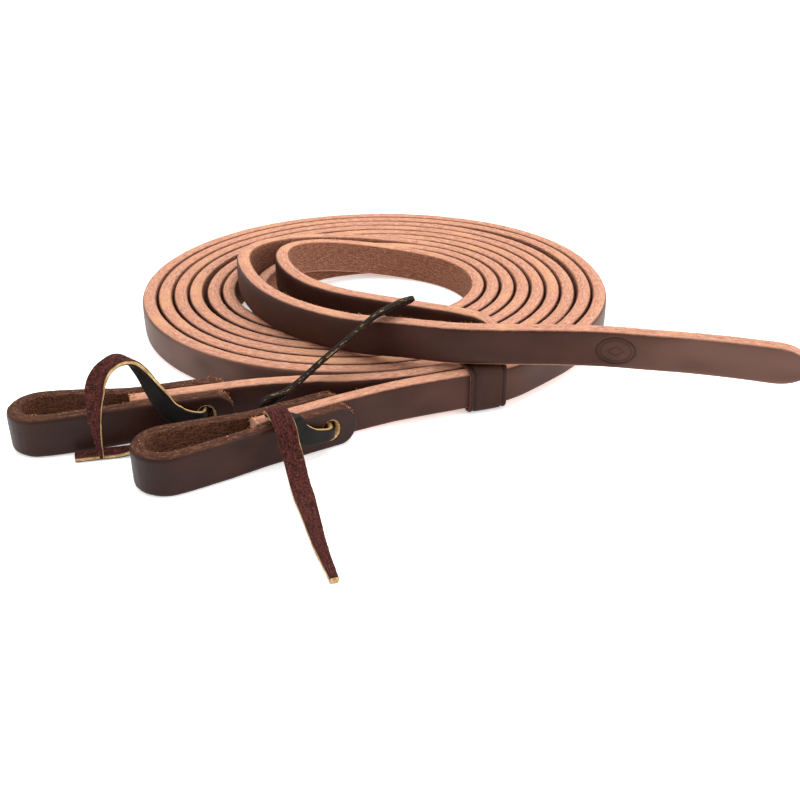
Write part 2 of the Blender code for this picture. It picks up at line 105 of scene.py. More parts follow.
@dataclass(frozen=True)
class Measures:
    """The sizes that the pieces share, in metres."""

    strap_width: float = 0.0159
    strap_thickness: float = 0.0065
    turn_gap: float = 0.0006
    tail_point: float = 0.013
    coil_radius: float = 0.1114
    coil_oval: float = 0.0020
    coil_skew: float = 0.0013
    coil_start: int = -45
    coil_step: int = 9
    front_coil_end: int = 1287
    climb_angle: int = 147
    stack_gap: float = 0.0004
    loop_thickness: float = 0.0052
    layer_gap: float = 0.0003
    rein_end_from_hole: float = 0.027
    tab_end_from_hole: float = 0.0105
    keeper_length: float = 0.016
    keeper_thickness: float = 0.0013
    keeper_clearance: float = 0.0003
    keeper_off_ground: float = 0.0002
    keeper_stretch: float = 0.036
    keeper_rest: float = 0.027
    lace_width: float = 0.0074
    lace_thickness: float = 0.0023
    lace_gap: float = 0.0004
    slacks: tuple[Slack, ...] = (
        Slack(-180, 180, 35, 30, -0.0022),
        Slack(180, 9000, -80, 40, 0.0025),
        Slack(720, 9000, 160, 45, 0.0017),
        Slack(1440, 9000, 190, 50, 0.0030),
    )

    @property
    def pitch(self) -> float:
        """From one strap's middle to the next one's in the coil."""
        return self.strap_thickness + self.turn_gap

    @property
    def keeper_lift(self) -> float:
        """How far the keeper raises the leads that run through it."""
        return self.keeper_thickness + self.keeper_clearance + self.keeper_off_ground

    @property
    def stack_height(self) -> float:
        """The lower edge of a tail that lies on the coil."""
        return self.strap_width + self.stack_gap

    @property
    def tail_height(self) -> float:
        """The lower edge of the tail that lies on the lifted leads."""
        return self.strap_width + 2 * self.keeper_lift + self.stack_gap

    @property
    def sandwich_half(self) -> float:
        """Half the thickness of a rein's end with the water loop's tabs on it."""
        return self.strap_thickness / 2 + self.layer_gap + self.loop_thickness


SIZES = Measures()
MIDDLE = SIZES.strap_width / 2
LACE_FACE = SIZES.sandwich_half + SIZES.lace_gap + SIZES.lace_thickness / 2
LACE_TOP = SIZES.strap_width + SIZES.lace_gap + SIZES.lace_thickness / 2
LACE_GROUND = SIZES.lace_thickness / 2 + 0.0001
LACE_CORNER_OUT = SIZES.sandwich_half + 0.7 * SIZES.lace_thickness
LACE_CORNER_UP = SIZES.strap_width + 0.45 * SIZES.lace_thickness


def eased(value: Any, start: float, end: float) -> Any:
    """Climbs smoothly from 0 to 1.

    Args:
        value: a number or an array of them.
        start: where the climb starts.
        end: where it ends.

    Returns:
        The share climbed at each value.
    """
    share = np.clip((np.asarray(value, float) - start) / (end - start), 0, 1)
    return share * share * (3 - 2 * share)


def at(place: Place, along: float, across: float = 0.0) -> tuple[float, float]:
    """Finds a point on the ground plan from a place.

    Args:
        place: where it is measured from.
        along: how far along the place's heading.
        across: how far to its left.

    Returns:
        The point's x and y.
    """
    turn = math.radians(place.heading)
    return (
        place.x + along * math.cos(turn) - across * math.sin(turn),
        place.y + along * math.sin(turn) + across * math.cos(turn),
    )


def smooth(points: Any, longest: float) -> np.ndarray:
    """Fills in a centripetal Catmull-Rom curve through the points.

    Args:
        points: rows that start with a place; any further columns are carried along.
        longest: the largest distance that is left between two rows.

    Returns:
        The rows, with more between them.
    """
    points = np.array(points, float)
    ends = 2 * points[[0, -1]] - points[[1, -2]]
    padded = np.vstack([ends[:1], points, ends[1:]])
    filled = []
    for before, start, end, after in zip(padded, padded[1:], padded[2:], padded[3:]):
        gaps = [math.dist(a[:3], b[:3]) ** 0.5 for a, b in ((before, start), (start, end), (end, after))]
        t1 = gaps[0]
        t2 = t1 + gaps[1]
        t3 = t2 + gaps[2]
        steps = max(1, math.ceil(math.dist(start[:3], end[:3]) / longest))
        t = np.linspace(t1, t2, steps, endpoint=False)[:, None]
        a1 = (t1 - t) / t1 * before + t / t1 * start
        a2 = (t2 - t) / (t2 - t1) * start + (t - t1) / (t2 - t1) * end
        a3 = (t3 - t) / (t3 - t2) * end + (t - t2) / (t3 - t2) * after
        b1 = (t2 - t) / t2 * a1 + t / t2 * a2
        b2 = (t3 - t) / (t3 - t1) * a2 + (t - t1) / (t3 - t1) * a3
        filled.append((t2 - t) / (t2 - t1) * b1 + (t - t1) / (t2 - t1) * b2)
    return np.vstack([*filled, points[-1:]])


def travelled(route: np.ndarray) -> np.ndarray:
    """How far along the route each of its rows is."""
    return np.append(0, np.cumsum(np.linalg.norm(np.diff(route[:, :3], axis=0), axis=1)))


def respaced(route: np.ndarray, step: float) -> np.ndarray:
    """Spaces the rows of a route evenly.

    Args:
        route: its rows.
        step: how far apart they should be, near enough.

    Returns:
        The new rows.
    """
    reach = travelled(route)
    marks = np.linspace(0, reach[-1], max(2, round(reach[-1] / step)))
    return np.column_stack([np.interp(marks, reach, column) for column in route.T])


def relaxed(route: np.ndarray, spread: float) -> np.ndarray:
    """Eases the kinks out of a route, as stiff leather does.

    Args:
        route: its rows.
        spread: over about how many rows a kink is spread.

    Returns:
        The eased rows, as many as before.
    """
    reach = math.ceil(3 * spread)
    weights = np.exp(-0.5 * (np.arange(-reach, reach + 1) / spread) ** 2)
    weights /= weights.sum()
    before = 2 * route[0] - route[reach:0:-1]
    after = 2 * route[-1] - route[-2 : -reach - 2 : -1]
    padded = np.vstack([before, route, after])
    return np.column_stack([np.convolve(column, weights, "valid") for column in padded.T])


def field_of(
    rng: np.random.Generator, rows: int, columns: int, row_step: float, column_step: float
) -> np.ndarray:
    """Smooth random values from -1 to 1.

    Args:
        rng: where they come from.
        rows, columns: the size of the field.
        row_step, column_step: how many rows and columns it takes to change.

    Returns:
        The field, rows by columns.
    """
    r, c = np.arange(rows) / row_step, np.arange(columns) / column_step
    coarse = rng.uniform(-1, 1, (int(r[-1]) + 2, int(c[-1]) + 2))
    r0, c0 = r.astype(int), c.astype(int)
    fr = eased(r - r0, 0, 1)[:, None]
    fc = eased(c - c0, 0, 1)[None, :]
    top = coarse[np.ix_(r0, c0)] * (1 - fc) + coarse[np.ix_(r0, c0 + 1)] * fc
    low = coarse[np.ix_(r0 + 1, c0)] * (1 - fc) + coarse[np.ix_(r0 + 1, c0 + 1)] * fc
    return top * (1 - fr) + low * fr


def linear(colour: str) -> tuple[float, float, float, float]:
    """Turns an sRGB colour into a linear one.

    Args:
        colour: as #RRGGBB.

    Returns:
        Red, green, blue and an alpha of 1.
    """
    shares = [int(colour[i : i + 2], 16) / 255 for i in (1, 3, 5)]
    r, g, b = (s / 12.92 if s <= 0.04045 else ((s + 0.055) / 1.055) ** 2.4 for s in shares)
    return (r, g, b, 1.0)


def add(tree: bpy.types.NodeTree, kind: str, inputs: dict | None = None, **settings: Any) -> bpy.types.Node:
    """Adds a node.

    Args:
        tree: where it goes.
        kind: its type's name.
        inputs: for each input socket, by name or number, the socket it is linked to or its value.
        settings: the node's own properties.

    Returns:
        The node.
    """
    node = tree.nodes.new(kind)
    for name, value in settings.items():
        setattr(node, name, value)
    for name, value in (inputs or {}).items():
        if isinstance(value, bpy.types.NodeSocket):
            tree.links.new(value, node.inputs[name])
        else:
            node.inputs[name].default_value = value
    return node


@dataclass(frozen=True)
class Leather:
    """Drum-dyed cowhide: a smooth dyed grain, a raw cut edge, and a napped flesh side.

    Colours are pairs or triples of sRGB hex values, from dark to light. Lengths are in millimetres.
    """

    name: str
    grain: tuple[str, str]
    edge: tuple[str, str, str]
    edge_patch: str
    flesh: tuple[str, str]
    raw: tuple[str, str]
    # the darker colour, used for dirt and wear and for painted shade in grooves
    rubbed_and_shade: str
    # the paler grain colour, used for wear and for painted sheen
    worn_and_sheen: str
    fleck: str
    grain_roughness: float
    grain_specular: float = 0.35
    patch_mm: float = 26.0
    streak_mm: tuple[float, float] = (7.0, 0.75)
    nap_mm: float = 0.75
    pore_mm: float = 1.1
    relief_mm: float = 0.28
    dye_line: tuple[float, float] = (0.36, 0.64)

    def material(self) -> bpy.types.Material:
        """Makes the material, once for all the pieces that share it.

        Returns:
            The material.
        """
        found = bpy.data.materials.get(self.name)
        if found:
            return found
        made = bpy.data.materials.new(self.name)
        made.use_nodes = True
        tree = made.node_tree
        shader = tree.nodes["Principled BSDF"]
        colour, roughness, height = self.patterns(tree)
        shader.inputs["Specular IOR Level"].default_value = self.grain_specular
        shader.inputs["Metallic"].default_value = 0.0
        shader.inputs["IOR"].default_value = 1.5
        tree.links.new(colour, shader.inputs["Base Color"])
        tree.links.new(roughness, shader.inputs["Roughness"])
        bump = add(
            tree,
            "ShaderNodeBump",
            {"Strength": 0.8, "Distance": self.relief_mm / 1000, "Height": height},
        )
        tree.links.new(bump.outputs["Normal"], shader.inputs["Normal"])
        return made

    def patterns(self, tree: bpy.types.NodeTree) -> tuple[bpy.types.NodeSocket, ...]:
        """Draws the three sides and mixes them by which side a place is on.

        Args:
            tree: the material's nodes.

        Returns:
            The sockets for colour, roughness and the height of the relief.
        """

        def noise(stretch: Row, detail: float, rough: float = 0.55) -> bpy.types.NodeSocket:
            """Noise on the lay of the strap, with cells this many millimetres along and across it."""
            cells = (1000 / stretch[0], 1000 / stretch[1], 1)
            scaled = add(tree, "ShaderNodeVectorMath", {0: lay, 1: cells}, operation="MULTIPLY").outputs[0]
            inputs = {"Vector": scaled, "Scale": 1.0, "Detail": detail, "Roughness": rough}
            return add(tree, "ShaderNodeTexNoise", inputs).outputs["Fac"]

        def ranged(
            value: Any, low: float, high: float, to_low: float = 0.0, to_high: float = 1.0
        ) -> bpy.types.NodeSocket:
            """The value with this range opened out to another."""
            inputs = {0: value, 1: low, 2: high, 3: to_low, 4: to_high}
            return add(tree, "ShaderNodeMapRange", inputs, interpolation_type="SMOOTHSTEP").outputs[0]

        def sum_of(a: Any, b: Any, share: float) -> bpy.types.NodeSocket:
            """a and this share of b added."""
            return add(tree, "ShaderNodeMath", {0: b, 1: share, 2: a}, operation="MULTIPLY_ADD").outputs[0]

        def mixed(share: Any, a: Any, b: Any) -> bpy.types.NodeSocket:
            """Colour a with this share of colour b over it."""
            return add(tree, "ShaderNodeMix", {0: share, 6: a, 7: b}, data_type="RGBA").outputs[2]

        def blended(share: Any, a: Any, b: Any) -> bpy.types.NodeSocket:
            """Number a with this share of number b in it."""
            return add(tree, "ShaderNodeMix", {0: share, 2: a, 3: b}, data_type="FLOAT").outputs[0]

        lay = add(tree, "ShaderNodeUVMap", uv_map="lay").outputs["UV"]
        sides = {
            side: add(tree, "ShaderNodeAttribute", attribute_name=side.value).outputs["Fac"] for side in Side
        }
        # Patches where the hide took more or less dye
        patch = noise((self.patch_mm, self.patch_mm * 0.6), 2.0)
        # Fibres laid open lengthwise by the strap cutter
        streak = noise(self.streak_mm, 3.0, 0.6)
        # Nap and pores are finer than this on the real hide; they are drawn as coarse as they need to show
        nap = noise((self.nap_mm * 1.3, self.nap_mm), 4.0, 0.7)
        fleck = ranged(noise((self.nap_mm * 2.4, self.nap_mm * 1.3), 1.0), 0.64, 0.72)
        in_mm = add(tree, "ShaderNodeVectorMath", {0: lay, 1: (1000, 1000, 1)}, operation="MULTIPLY").outputs[0]
        cells = add(tree, "ShaderNodeTexVoronoi", {"Vector": in_mm, "Scale": 1 / self.pore_mm})
        pores = cells.outputs["Distance"]

        fibres = sum_of(sum_of(-0.30, streak, 1.0), nap, 0.60)
        edge = mixed(ranged(fibres, 0.30, 0.52), linear(self.edge[0]), linear(self.edge[1]))
        edge = mixed(ranged(fibres, 0.50, 0.74), edge, linear(self.edge[2]))
        edge = mixed(ranged(patch, 0.50, 0.72, 0.0, 0.75), edge, linear(self.edge_patch))
        edge = mixed(ranged(fleck, 0.0, 1.0, 0.0, 0.55), edge, linear(self.fleck))
        tone = sum_of(sum_of(-0.12, patch, 0.85), nap, 0.40)
        grain = mixed(ranged(tone, 0.30, 0.74), linear(self.grain[0]), linear(self.grain[1]))
        # Paler grain colour where the strap is worn, which also serves as painted sheen
        grain = mixed(ranged(sides[Side.WORN_AND_SHEEN], 0.0, 1.0), grain, linear(self.worn_and_sheen))
        felted = ranged(sum_of(sum_of(-0.28, nap, 1.0), streak, 0.55), 0.34, 0.66)
        flesh = mixed(felted, linear(self.flesh[0]), linear(self.flesh[1]))
        flesh = mixed(ranged(fleck, 0.0, 1.0, 0.0, 0.25), flesh, linear(self.fleck))
        raw = mixed(ranged(fibres, 0.32, 0.70), linear(self.raw[0]), linear(self.raw[1]))

        # The dye stops short of the cut edge along a line as uneven as the fibres
        dyed = ranged(sum_of(sides[Side.GRAIN], sum_of(-0.5, fibres, 1.0), 0.35), *self.dye_line)
        napped = ranged(sum_of(sides[Side.FLESH], sum_of(-0.5, nap, 1.0), 0.35), *self.dye_line)
        colour = mixed(napped, mixed(dyed, edge, grain), flesh)
        colour = mixed(ranged(sides[Side.RAW], 0.2, 0.8), colour, raw)
        # Darker marks: dirt and wear, and painted shade in the stamped and creased grooves
        colour = mixed(ranged(sides[Side.RUBBED_AND_SHADE], 0.0, 1.0, 0.0, 0.97), colour, linear(self.rubbed_and_shade))
        gloss = sum_of(self.grain_roughness - 0.06, patch, 0.12)
        roughness = blended(napped, blended(dyed, 0.82, gloss), 0.90)
        pitted = sum_of(sum_of(0.30, pores, 0.10), nap, 0.10)
        relief = blended(napped, blended(dyed, fibres, pitted), sum_of(fibres, nap, 0.6))
        return colour, roughness, relief


HARNESS = Leather(
    # Bridle-weight harness leather, drum dyed and plated: soft gloss on the grain, edges left raw
    name="harness_leather_plated",
    grain=("#2E1610", "#3E2118"),
    edge=("#9A6A56", "#B7836B", "#D0A08A"),
    edge_patch="#C69370",
    flesh=("#5A3526", "#8E5F49"),
    raw=("#9C6A4A", "#CFA07C"),
    rubbed_and_shade="#1A0C08",
    worn_and_sheen="#63463C",
    fleck="#D49A76",
    grain_roughness=0.52,
    grain_specular=0.15,
    streak_mm=(3.6, 0.8),
    nap_mm=0.62,
)
OILED = Leather(
    # The same leather, oiled for the water loops: deeper colour, wetter gloss, darkened edges
    name="harness_leather_oiled",
    grain=("#24110B", "#341A12"),
    edge=("#2C180F", "#472A1D", "#6C4734"),
    edge_patch="#52321F",
    flesh=("#33190F", "#6E4632"),
    raw=("#B08048", "#E6C48C"),
    rubbed_and_shade="#1E0F0A",
    worn_and_sheen="#5E4036",
    fleck="#7E5238",
    grain_roughness=0.46,
    grain_specular=0.16,
    streak_mm=(3.6, 0.8),
    nap_mm=0.62,
)
SKIRTING = Leather(
    # Thin skirting leather, boned round the leads: even colour and a little gloss
    name="keeper_leather_boned",
    grain=("#2A160F", "#3A2018"),
    edge=("#40241A", "#5E3828", "#7C5442"),
    edge_patch="#6A4230",
    flesh=("#4A2C20", "#6E4A38"),
    raw=("#8A5A48", "#B98B6C"),
    rubbed_and_shade="#160A06",
    worn_and_sheen="#5A3C32",
    fleck="#A06A4A",
    grain_roughness=0.52,
    grain_specular=0.13,
)
LATIGO = Leather(
    # Alum-tanned latigo, waxed: near-black grain, pale core at the cut edges, reddish napped flesh
    name="latigo_leather_waxed",
    grain=("#080605", "#16100D"),
    edge=("#7A5A3A", "#B8945F", "#DCC49A"),
    edge_patch="#A07E52",
    flesh=("#1F0E0C", "#552722"),
    raw=("#A97B45", "#DDBB80"),
    rubbed_and_shade="#0E0907",
    worn_and_sheen="#241A16",
    fleck="#8C5A4E",
    grain_roughness=0.50,
    grain_specular=0.14,
    streak_mm=(4.0, 0.6),
    nap_mm=0.6,
    dye_line=(0.04, 0.26),
)


@dataclass(frozen=True)
class Fibre:
    """Loose collagen fibres, torn up by the cutter: dull, pale and uneven in colour."""

    name: str
    dark: str
    light: str

    def material(self) -> bpy.types.Material:
        """Makes the material, once for all the tufts that share it.

        Returns:
            The material.
        """
        found = bpy.data.materials.get(self.name)
        if found:
            return found
        made = bpy.data.materials.new(self.name)
        made.use_nodes = True
        tree = made.node_tree
        shader = tree.nodes["Principled BSDF"]
        where = add(tree, "ShaderNodeTexCoord").outputs["Object"]
        # One colour for a few neighbouring strands, which lie about 3 mm apart
        clump = add(tree, "ShaderNodeTexNoise", {"Vector": where, "Scale": 350.0, "Detail": 1.0}).outputs["Fac"]
        share = add(tree, "ShaderNodeMapRange", {0: clump, 1: 0.35, 2: 0.65}).outputs[0]
        inputs = {0: share, 6: linear(self.dark), 7: linear(self.light)}
        mix = add(tree, "ShaderNodeMix", inputs, data_type="RGBA")
        tree.links.new(mix.outputs[2], shader.inputs["Base Color"])
        shader.inputs["Roughness"].default_value = 0.9
        shader.inputs["Specular IOR Level"].default_value = 0.2
        return made


EDGE_FIBRE = Fibre("edge_fibre_torn", "#A8623A", "#DCA070")
LATIGO_FIBRE = Fibre("latigo_fibre_torn", "#6A3030", "#B07C5E")


@dataclass(frozen=True)
class Section:
    """The outline of a strap cut across: width is up and down in it, and the grain side to the right.

    Lengths are in metres; the counts are how many faces each stretch of the outline gets.
    """

    width: float
    thickness: float
    grain_corner: float
    flesh_corner: float
    crown: float = 0.0
    edge_faces: int = 8
    grain_faces: int = 8
    flesh_faces: int = 5
    corner_faces: int = 4

    def outline(self) -> tuple[np.ndarray, dict[Side, np.ndarray]]:
        """Draws the outline from the lower flesh corner up, over and down again.

        Returns:
            The points, each up and out, and for each side how much each point belongs to it.
        """
        w, t = self.width / 2, self.thickness / 2
        points: list[tuple[float, float]] = []
        grain: list[float] = []
        flesh: list[float] = []

        def line(start: Row, end: Row, count: int, crown: Row, sides: Row) -> None:
            """Adds the points between two corners, crowned this far, all on these sides."""
            for share in np.arange(1, count) / count:
                bulge = 4 * share * (1 - share)
                points.append(tuple(s + (e - s) * share + c * bulge for s, e, c in zip(start, end, crown)))
                grain.append(sides[0])
                flesh.append(sides[1])

        def corner(up: float, out: float, radius: float, first: float, sides: tuple[Row, Row]) -> None:
            """Adds a quarter round from this angle down, passing from the first sides to the second."""
            for step in range(self.corner_faces + 1):
                share = step / self.corner_faces
                turn = math.radians(first - 90 * share)
                points.append((up + radius * math.sin(turn), out + radius * math.cos(turn)))
                grain.append(sides[0][0] + (sides[1][0] - sides[0][0]) * share)
                flesh.append(sides[0][1] + (sides[1][1] - sides[0][1]) * share)

        rg, rf = self.grain_corner, self.flesh_corner
        line((-w + rf, -t), (w - rf, -t), self.flesh_faces, (0, 0), (0, 1))
        corner(w - rf, -t + rf, rf, 180, ((0, 1), (0, 0)))
        line((w, -t + rf), (w, t - rg), self.edge_faces, (self.crown, 0), (0, 0))
        corner(w - rg, t - rg, rg, 90, ((0, 0), (1, 0)))
        line((w - rg, t), (-w + rg, t), self.grain_faces, (0, self.crown * 0.3), (1, 0))
        corner(-w + rg, t - rg, rg, 0, ((1, 0), (0, 0)))
        line((-w, t - rg), (-w, -t + rf), max(3, self.edge_faces // 2), (0, 0), (0, 0))
        corner(-w + rf, -t + rf, rf, -90, ((0, 0), (0, 1)))
        return np.array(points), {Side.GRAIN: np.array(grain), Side.FLESH: np.array(flesh)}


@dataclass
class Strip:
    """A strap's surface as a grid: a ring of the section at each station of a route."""

    name: str
    centres: np.ndarray
    facing: np.ndarray
    widths: np.ndarray
    thicknesses: np.ndarray
    section: Section
    seed: int
    roughness: float = 1.0
    closed: bool = False
    rubbed_and_shade: np.ndarray | None = None
    worn_and_sheen: np.ndarray | None = None
    relief: np.ndarray | None = None
    rest_on: float | None = None
    rings: np.ndarray = field(init=False)
    normals: np.ndarray = field(init=False)
    along: np.ndarray = field(init=False)
    sides: dict[Side, np.ndarray] = field(init=False)

    def __post_init__(self) -> None:
        """Lays the rings out."""
        if self.closed:
            run = np.roll(self.centres, -1, axis=0) - np.roll(self.centres, 1, axis=0)
        else:
            run = np.gradient(self.centres, axis=0)
        self.along = run / np.linalg.norm(run, axis=1)[:, None]
        through = self.facing - self.along * np.sum(self.facing * self.along, axis=1)[:, None]
        through /= np.linalg.norm(through, axis=1)[:, None]
        across = np.cross(through, self.along)
        outline, self.sides = self.section.outline()
        up, out = outline.T
        turned = np.roll(outline, -1, axis=0) - np.roll(outline, 1, axis=0)
        normal = np.column_stack([turned[:, 1], -turned[:, 0]])
        normal /= np.linalg.norm(normal, axis=1)[:, None]
        lifted = self.texture(len(up))
        up = up[None, :] * (self.widths / self.section.width)[:, None] + normal[:, 0] * lifted
        out = out[None, :] * (self.thicknesses / self.section.thickness)[:, None] + normal[:, 1] * lifted
        self.rings = self.centres[:, None] + across[:, None] * up[..., None] + through[:, None] * out[..., None]
        if self.rest_on is not None:
            self.rings[..., 2] = np.maximum(self.rings[..., 2], self.rest_on)
        self.normals = across[:, None] * normal[:, :1] + through[:, None] * normal[:, 1:]

    def texture(self, columns: int) -> np.ndarray:
        """Works out how far each point of the surface stands out: cut edges are ridged, grain is nearly flat.

        Args:
            columns: how many points a ring has.

        Returns:
            The heights, rows by columns.
        """
        rng = np.random.default_rng(self.seed)
        rows = len(self.centres)
        station = travelled(self.centres)[-1] / rows
        fine = field_of(rng, rows, columns, 0.0016 / station, 1.2)
        ridges = field_of(rng, rows, columns, 0.007 / station, 1.6)
        slow = field_of(rng, rows, columns, 0.024 / station, 5.0)
        cut = np.clip(1 - self.sides[Side.GRAIN] - self.sides[Side.FLESH], 0, 1)
        rough = cut * 0.00011 + self.sides[Side.FLESH] * 0.00010 + self.sides[Side.GRAIN] * 0.00001
        level = cut * 0.00010 + self.sides[Side.GRAIN] * 0.00004 + self.sides[Side.FLESH] * 0.00005
        lifted = (0.5 * fine + 0.5 * ridges) * rough + slow * level
        lifted *= self.roughness
        if self.relief is not None:
            lifted = lifted + self.relief
        return lifted

    def strip_mesh(self, finish: Leather) -> bpy.types.Object:
        """Turns the rings into an object.

        Args:
            finish: what it is made of.

        Returns:
            The object, in the scene.
        """
        rows, columns = self.rings.shape[:2]
        rings = self.rings
        masks = {side: np.tile(values, (rows, 1)) for side, values in self.sides.items()}
        masks[Side.RUBBED_AND_SHADE] = np.zeros((rows, columns)) if self.rubbed_and_shade is None else self.rubbed_and_shade
        masks[Side.WORN_AND_SHEEN] = np.zeros((rows, columns)) if self.worn_and_sheen is None else self.worn_and_sheen
        masks[Side.RAW] = np.zeros((rows, columns))
        reach = travelled(self.centres)
        if not self.closed:
            # A last, smaller ring at each end, so that the cut end has a softened rim
            first = rings[0] + 0.12 * (self.centres[0] - rings[0]) - self.along[0] * 0.0003
            last = rings[-1] + 0.12 * (self.centres[-1] - rings[-1]) + self.along[-1] * 0.0003
            rings = np.concatenate([first[None], rings, last[None]])
            for side in masks:
                end = np.zeros((1, columns))
                masks[side] = np.concatenate([end, masks[side], end])
            reach = np.concatenate([[reach[0] - 0.001], reach, [reach[-1] + 0.001]])
            rows += 2
        sample = self.rings[rows // 2]
        round_it = travelled(np.vstack([sample, sample[:1]]))
        count = rows if self.closed else rows - 1
        i, j = np.meshgrid(np.arange(count), np.arange(columns), indexing="ij")
        i2, j2 = (i + 1) % rows, (j + 1) % columns
        quads = np.stack(
            [i * columns + j, i * columns + j2, i2 * columns + j2, i2 * columns + j], axis=-1
        ).reshape(-1, 4)
        if self.closed:
            reach = np.append(reach, reach[-1] + np.linalg.norm(self.centres[0] - self.centres[-1]))
        u = np.stack([reach[i], reach[i], reach[i + 1], reach[i + 1]], axis=-1)
        v = np.stack([round_it[j], round_it[j + 1], round_it[j + 1], round_it[j]], axis=-1)
        lay = np.stack([u, v], axis=-1).reshape(-1, 2) + self.seed * 0.37
        faces = quads.tolist()
        if not self.closed:
            faces.append(list(range(columns))[::-1])
            faces.append([(rows - 1) * columns + k for k in range(columns)])
            for ring in (rings[0][::-1], rings[-1]):
                cap = np.column_stack([ring[:, 2], ring[:, 0] + ring[:, 1]])
                lay = np.vstack([lay, cap + self.seed])
        mesh = bpy.data.meshes.new(self.name)
        mesh.from_pydata(rings.reshape(-1, 3).tolist(), [], faces)
        mesh.uv_layers.new(name="lay").data.foreach_set("uv", lay.ravel())
        for side, values in masks.items():
            mesh.attributes.new(side.value, "FLOAT", "POINT").data.foreach_set("value", values.ravel())
        mesh.shade_smooth()
        mesh.set_sharp_from_angle(angle=math.radians(50))
        mesh.materials.append(finish.material())
        made = bpy.data.objects.new(self.name, mesh)
        bpy.context.scene.collection.objects.link(made)
        return made


@dataclass(frozen=True)
class LaceHole:
    """A punched hole through a sandwich, with a softened rim."""

    place: Place
    shift: Vector
    radius: float = 0.0031
    stretch: float = 1.15
    flare: float = 0.0009

    def punch(self, piece: bpy.types.Object, face: float) -> None:
        """Cuts the hole.

        Args:
            piece: the leather that it goes through.
            face: how far from the middle of the sandwich the outer face is, where the rim is.
        """
        turn = math.radians(self.place.heading)
        out = Vector((-math.sin(turn), math.cos(turn), 0))
        run = Vector((math.cos(turn), math.sin(turn), 0))
        middle = Vector((self.place.x, self.place.y, MIDDLE)) + self.shift
        near = (-face - 0.002, -face, -face + 0.0004, -face + 0.0012)
        depths = (*near, *(-depth for depth in reversed(near)))
        flared = (self.flare * 1.5, self.flare, self.flare * 0.55, 0)
        wide = (*flared, *reversed(flared))
        steps = 48
        points, lay = [], []
        for depth, more in zip(depths, wide):
            for k in range(steps):
                angle = math.tau * k / steps
                size = self.radius + more
                lift = Vector((0, 0, size * self.stretch * math.sin(angle)))
                points.append(middle + out * depth + run * size * math.cos(angle) + lift)
        faces = []
        for ring in range(len(depths) - 1):
            for k in range(steps):
                a, b = ring * steps + k, ring * steps + (k + 1) % steps
                faces.append((a, a + steps, b + steps, b))
                low, high, before, after = ring * 0.001, (ring + 1) * 0.001, k * 0.0004, (k + 1) * 0.0004
                lay += [(low, before), (high, before), (high, after), (low, after)]
        faces.append(tuple(range(steps)))
        faces.append(tuple((len(depths) - 1) * steps + k for k in range(steps))[::-1])
        lay += [(0, 0)] * (2 * steps)
        mesh = bpy.data.meshes.new("punch")
        mesh.from_pydata(points, [], faces)
        mesh.uv_layers.new(name="lay").data.foreach_set("uv", np.array(lay, float).ravel())
        for side in Side:
            value = 1.0 if side is Side.RAW else 0.0
            mesh.attributes.new(side.value, "FLOAT", "POINT").data.foreach_set("value", [value] * len(points))
        mesh.shade_smooth()
        tool = bpy.data.objects.new("punch", mesh)
        bpy.context.scene.collection.objects.link(tool)
        cut = piece.modifiers.new("lace_hole", "BOOLEAN")
        cut.object = tool
        cut.operation = "DIFFERENCE"
        whole = bpy.data.meshes.new_from_object(piece.evaluated_get(bpy.context.evaluated_depsgraph_get()))
        piece.modifiers.clear()
        piece.data = whole
        bpy.data.objects.remove(tool)
        # The rim itself stays dyed, and the wall just inside it shows the undyed middle of the leather
        grain = whole.attributes[Side.GRAIN.value].data
        raw = whole.attributes[Side.RAW.value].data
        for vert in whole.vertices:
            off = vert.co - middle
            away = math.hypot(off.dot(run), off.z / self.stretch)
            if away < self.radius + self.flare * 1.25:
                inside = abs(off.dot(out)) < face - 0.0003
                raw[vert.index].value = 1.0 if inside else 0.0
                grain[vert.index].value = 0.0 if inside else 1.0


@dataclass(frozen=True)
class FibreTufts:
    """Loose fibres that stand up from a cut edge or from the flesh side."""

    name: str
    finish: Fibre
    seed: int
    length: float = 0.0011
    radius: float = 0.00009

    def grow(self, strip: Strip, picks: list[tuple[int, int]]) -> bpy.types.Object:
        """Plants a strand at each pick.

        Args:
            strip: what they grow on.
            picks: the ring and the point of the ring of each.

        Returns:
            All the strands, as one object.
        """
        rng = np.random.default_rng(self.seed)
        points: list[np.ndarray] = []
        faces: list[tuple[int, ...]] = []
        for ring, column in picks:
            root = strip.rings[ring, column] + strip.along[ring] * rng.uniform(-0.0005, 0.0005)
            out = strip.normals[ring, column]
            lean = strip.along[ring] * rng.uniform(-1, 1) + rng.uniform(-0.4, 0.4, 3)
            length = self.length * rng.uniform(0.4, 1.3)
            thick = self.radius * rng.uniform(0.6, 1.4)
            side = np.cross(out, strip.along[ring])
            path = (
                root - out * 0.0001,
                root + out * length * 0.4 + lean * length * 0.3,
                root + out * length * 0.55 + lean * length,
            )
            start = len(points)
            for spot, share in zip(path, (1.0, 0.8, 0.25)):
                for k in range(3):
                    angle = math.tau * k / 3
                    around = side * math.cos(angle) + strip.along[ring] * math.sin(angle)
                    points.append(spot + around * thick * share)
            for step in range(2):
                for k in range(3):
                    a, b = start + step * 3 + k, start + step * 3 + (k + 1) % 3
                    faces.append((a, b, b + 3, a + 3))
            faces.append((start + 6, start + 7, start + 8))
            faces.append((start + 2, start + 1, start))
        mesh = bpy.data.meshes.new(self.name)
        mesh.from_pydata([tuple(p) for p in points], [], faces)
        mesh.shade_smooth()
        mesh.materials.append(self.finish.material())
        made = bpy.data.objects.new(self.name, mesh)
        bpy.context.scene.collection.objects.link(made)
        return made


